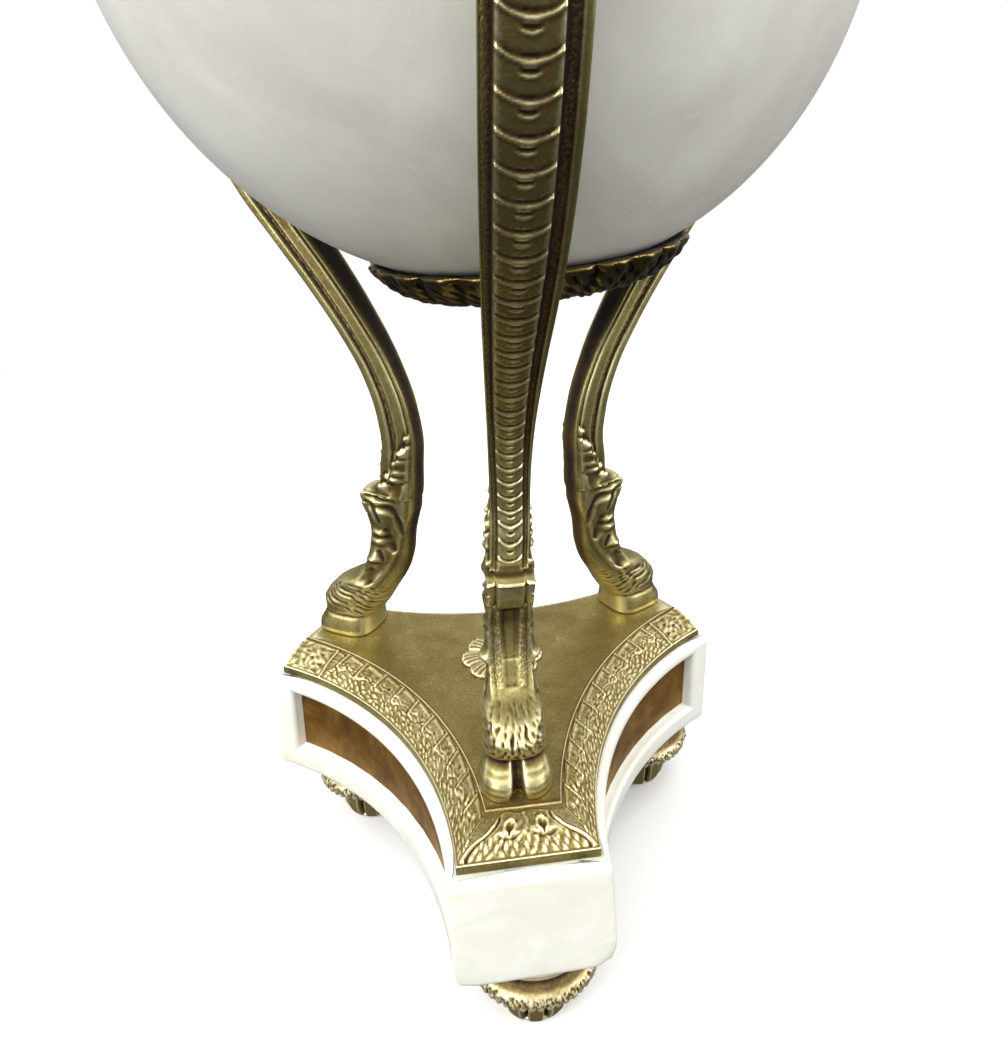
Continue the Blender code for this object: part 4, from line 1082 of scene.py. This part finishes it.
# Turned gilding: pale on the fillets and brown in the hollow band.
ring_gilt = gilding("turned_gilt_ring", "dccf9c", "8f814c", "5c401a", "1e130a", patch_mm=12, shine=0.40)
ring = skin("beaded_ring", ring_points(), ring_gilt, hollow=True)
for index in range(RING_OPENINGS):
    turn = TAU * (index + 0.5) / RING_OPENINGS
    bpy.ops.object.select_all(action="DESELECT")
    bpy.ops.mesh.primitive_cube_add(size=1.0)
    opening = bpy.context.object
    opening.scale = (OPENING_DEPTH, OPENING_WIDTH, OPENING_HEIGHT)
    settle(opening)
    soft = opening.modifiers.new("soft", "BEVEL")
    soft.width = OPENING_ROUNDING
    soft.segments = 3
    apply_all(opening)
    opening.rotation_euler.z = turn
    opening.location = turned(OPENING_REACH, turn, ring_low[2] + OPENING_LEVEL)
    settle(opening)
    pierced = ring.modifiers.new("pierced", "BOOLEAN")
    pierced.solver = "EXACT"
    pierced.object = opening
    apply_all(ring)
    bpy.data.objects.remove(opening)
wear_and_shade_map(ring, gain=5.0)
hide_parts("gallery_ring")
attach(ring, "root")


# Lid: a low hollow dome of the same white marble, turned and polished. It lifts off, and a small step at its
# rim drops into the ring.
lid_low, lid_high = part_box("lid")
LID_RADIUS = 0.0925
LID_WALL = 0.0070
LID_SEAT = 0.0130
LID_EDGE = 0.0040


def lid_points():
    """Rings of points from the hollow's top, down inside, under the rim and up the dome to the bud's seat."""
    rise = lid_high[2] - lid_low[2]
    quarter = np.linspace(math.pi / 2 - 0.02, 0, 40)
    outline = [((LID_RADIUS - LID_WALL) * math.cos(turn), (rise - LID_WALL) * math.sin(turn))
               for turn in quarter]
    outline += [(LID_RADIUS - 0.0008, 0.0), (LID_RADIUS - 0.0002, 0.0005), (LID_RADIUS, 0.0012),
                (LID_RADIUS, LID_EDGE - 0.0008), (LID_RADIUS - 0.0003, LID_EDGE - 0.0002),
                (LID_RADIUS - 0.0010, LID_EDGE), (LID_RADIUS - 0.0026, LID_EDGE)]
    dome = LID_RADIUS - 0.0030 - LID_SEAT
    outline += [(LID_SEAT + dome * math.cos(turn), LID_EDGE + (rise - LID_EDGE) * math.sin(turn))
                for turn in quarter[::-1]]
    outline += [(LID_SEAT * share, rise) for share in (0.8, 0.4, 0.1)]
    angle = np.linspace(0, TAU, 180, endpoint=False)
    return np.array([turned(reach, angle, lid_low[2] + level) for reach, level in outline])


lid = skin("turned_lid", lid_points(), bowl_marble)
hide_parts("lid")
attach(lid, "root")


# Bud: the lid's knob, a closed bud of overlapping leaves on a beaded collar. It is cast in brass, chased and
# gilt, and screwed to the lid's top.
bud_low, bud_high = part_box("finial")
BUD_LEAVES = 8


def bud_points():
    """Rings of points from the collar's underside up over the leaves to the bud's tip."""
    tall = (bud_high[2] - bud_low[2]) / MM
    wide = (bud_high[0] - bud_low[0]) / 2 / MM
    outline = np.array(((0.90, 0.0), (0.985, 0.015), (0.99, 0.05), (0.92, 0.075), (0.62, 0.11), (0.42, 0.16),
                        (0.37, 0.21), (0.44, 0.26), (0.62, 0.31), (0.80, 0.39), (0.88, 0.48), (0.86, 0.60),
                        (0.72, 0.73), (0.48, 0.86), (0.22, 0.95), (0.08, 0.99)))
    radius, level = profile(outline * (wide, tall), 0.35)
    angle = np.linspace(0, TAU, BUD_LEAVES * 20, endpoint=False)
    radii, angles = np.meshgrid(radius, angle, indexing="ij")
    shares = np.repeat(level[:, None] / tall, len(angle), axis=1)
    body = between(shares, 0.26, 0.32, 0.94, 1.0)
    tier = (shares - 0.26) / 0.24
    shift = np.floor(tier) * 0.5
    across = np.abs(((BUD_LEAVES * angles / TAU + shift) % 1.0) - 0.5) * 2
    climb = tier % 1.0
    leaf = 1 - ease(across - (1 - climb) ** 0.5, -0.12, 0.02)
    ridge = bump_at(across, 0.0, 0.10) * 0.4
    radii += body * (0.5 * leaf * (0.4 + climb) + ridge * leaf - 0.3 * (1 - leaf))
    beads = between(shares, 0.01, 0.02, 0.07, 0.09) * np.abs(np.cos(20 * angles)) * 0.35
    radii = np.minimum((radii - beads) * MM, wide * MM)
    return turned(radii, angles, bud_low[2] + shares * tall * MM)


bud = skin("leafy_bud", bud_points(), foot_gilt)
wear_and_shade_map(bud, gain=5.0)
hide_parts("finial")
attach(bud, "root")


# Floor, light and camera: a plain pale floor and a white world, with a large lamp on each side and one
# overhead. The camera stands close in front at the bowl's height and looks a little down.
scene = bpy.context.scene
scene.view_settings.view_transform = "Standard"
bpy.ops.object.select_all(action="DESELECT")
bpy.ops.mesh.primitive_plane_add(size=8.0, location=(0, 0, -0.0005))
floor = bpy.context.object
floor.name = "floor"
floor.visible_diffuse = False
floor.visible_glossy = False
floor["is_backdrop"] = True
floor_paint, tree, shader, place = blank("matt_white_paint")
connect(tree, shader, {"Base Color": linear("fbfbfa"), "Roughness": 0.9})
reach = node(tree, "VectorMath", {0: place}, operation="LENGTH").outputs["Value"]
fade = node(tree, "ValToRGB", {"Fac": reach}, stops=((0.22, 0.0), (0.75, 1.0)))
glow = node(tree, "Emission", {"Color": (1, 1, 1, 1), "Strength": 1.0})
mix = node(tree, "MixShader", {0: fade, 1: shader, 2: glow})
connect(tree, tree.nodes["Material Output"], {"Surface": mix})
floor.data.materials.append(floor_paint)

world = bpy.data.worlds.new("studio")
scene.world = world
world.use_nodes = True
sky = world.node_tree
sky.nodes.clear()
spot = node(sky, "TexCoord").outputs["Generated"]
rise = node(sky, "SeparateXYZ", {"Vector": spot}).outputs["Z"]
height_share = node(sky, "Math", {0: rise, 1: 0.5, 2: 0.5}, operation="MULTIPLY_ADD")
glow = node(sky, "ValToRGB", {"Fac": height_share},
            stops=((0.2, 0.06), (0.46, 0.20), (0.60, 0.62), (0.88, 1.0)))
mirrored = node(sky, "Background", {"Color": glow, "Strength": 1.15})
fill = node(sky, "ValToRGB", {"Fac": height_share}, stops=((0.1, 0.24), (0.46, 0.42), (0.9, 1.0)))
filled = node(sky, "Background", {"Color": fill, "Strength": 1.05})
seen = node(sky, "Background", {"Color": (1, 1, 1, 1), "Strength": 1.0})
ray = node(sky, "LightPath")
lit = node(sky, "MixShader", {0: ray.outputs["Is Diffuse Ray"], 1: mirrored, 2: filled})
mixed = node(sky, "MixShader", {0: ray.outputs["Is Camera Ray"], 1: lit, 2: seen})
node(sky, "OutputWorld", {"Surface": mixed})

for name, place, size, power in (("left_window", (-1.1, -0.8, 0.9), 0.9, 22.0),
                                 ("right_window", (1.2, -0.5, 0.6), 0.7, 9.0),
                                 ("overhead", (-0.1, -0.35, 1.6), 1.3, 18.0)):
    lamp_data = bpy.data.lights.new(name, "AREA")
    lamp_data.size = size
    lamp_data.energy = power
    lamp = bpy.data.objects.new(name, lamp_data)
    lamp.location = place
    lamp.rotation_euler = (Vector((0, 0, 0.15)) - Vector(place)).to_track_quat("-Z", "Y").to_euler()
    scene.collection.objects.link(lamp)

camera_data = bpy.data.cameras.new("camera")
camera = bpy.data.objects.new("camera", camera_data)
scene.collection.objects.link(camera)
camera.location = (-0.01910, -0.26059, 0.24984)
camera.rotation_euler = [math.radians(angle) for angle in (70.9314, -1.2487, -10.7277)]
camera_data.lens = 30.3467
camera_data.shift_x = -0.09125
camera_data.shift_y = -0.11027
camera_data.clip_start = 0.01
scene.camera = camera

size = {"cad": cad_box, "visual": [list(corner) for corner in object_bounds()]}
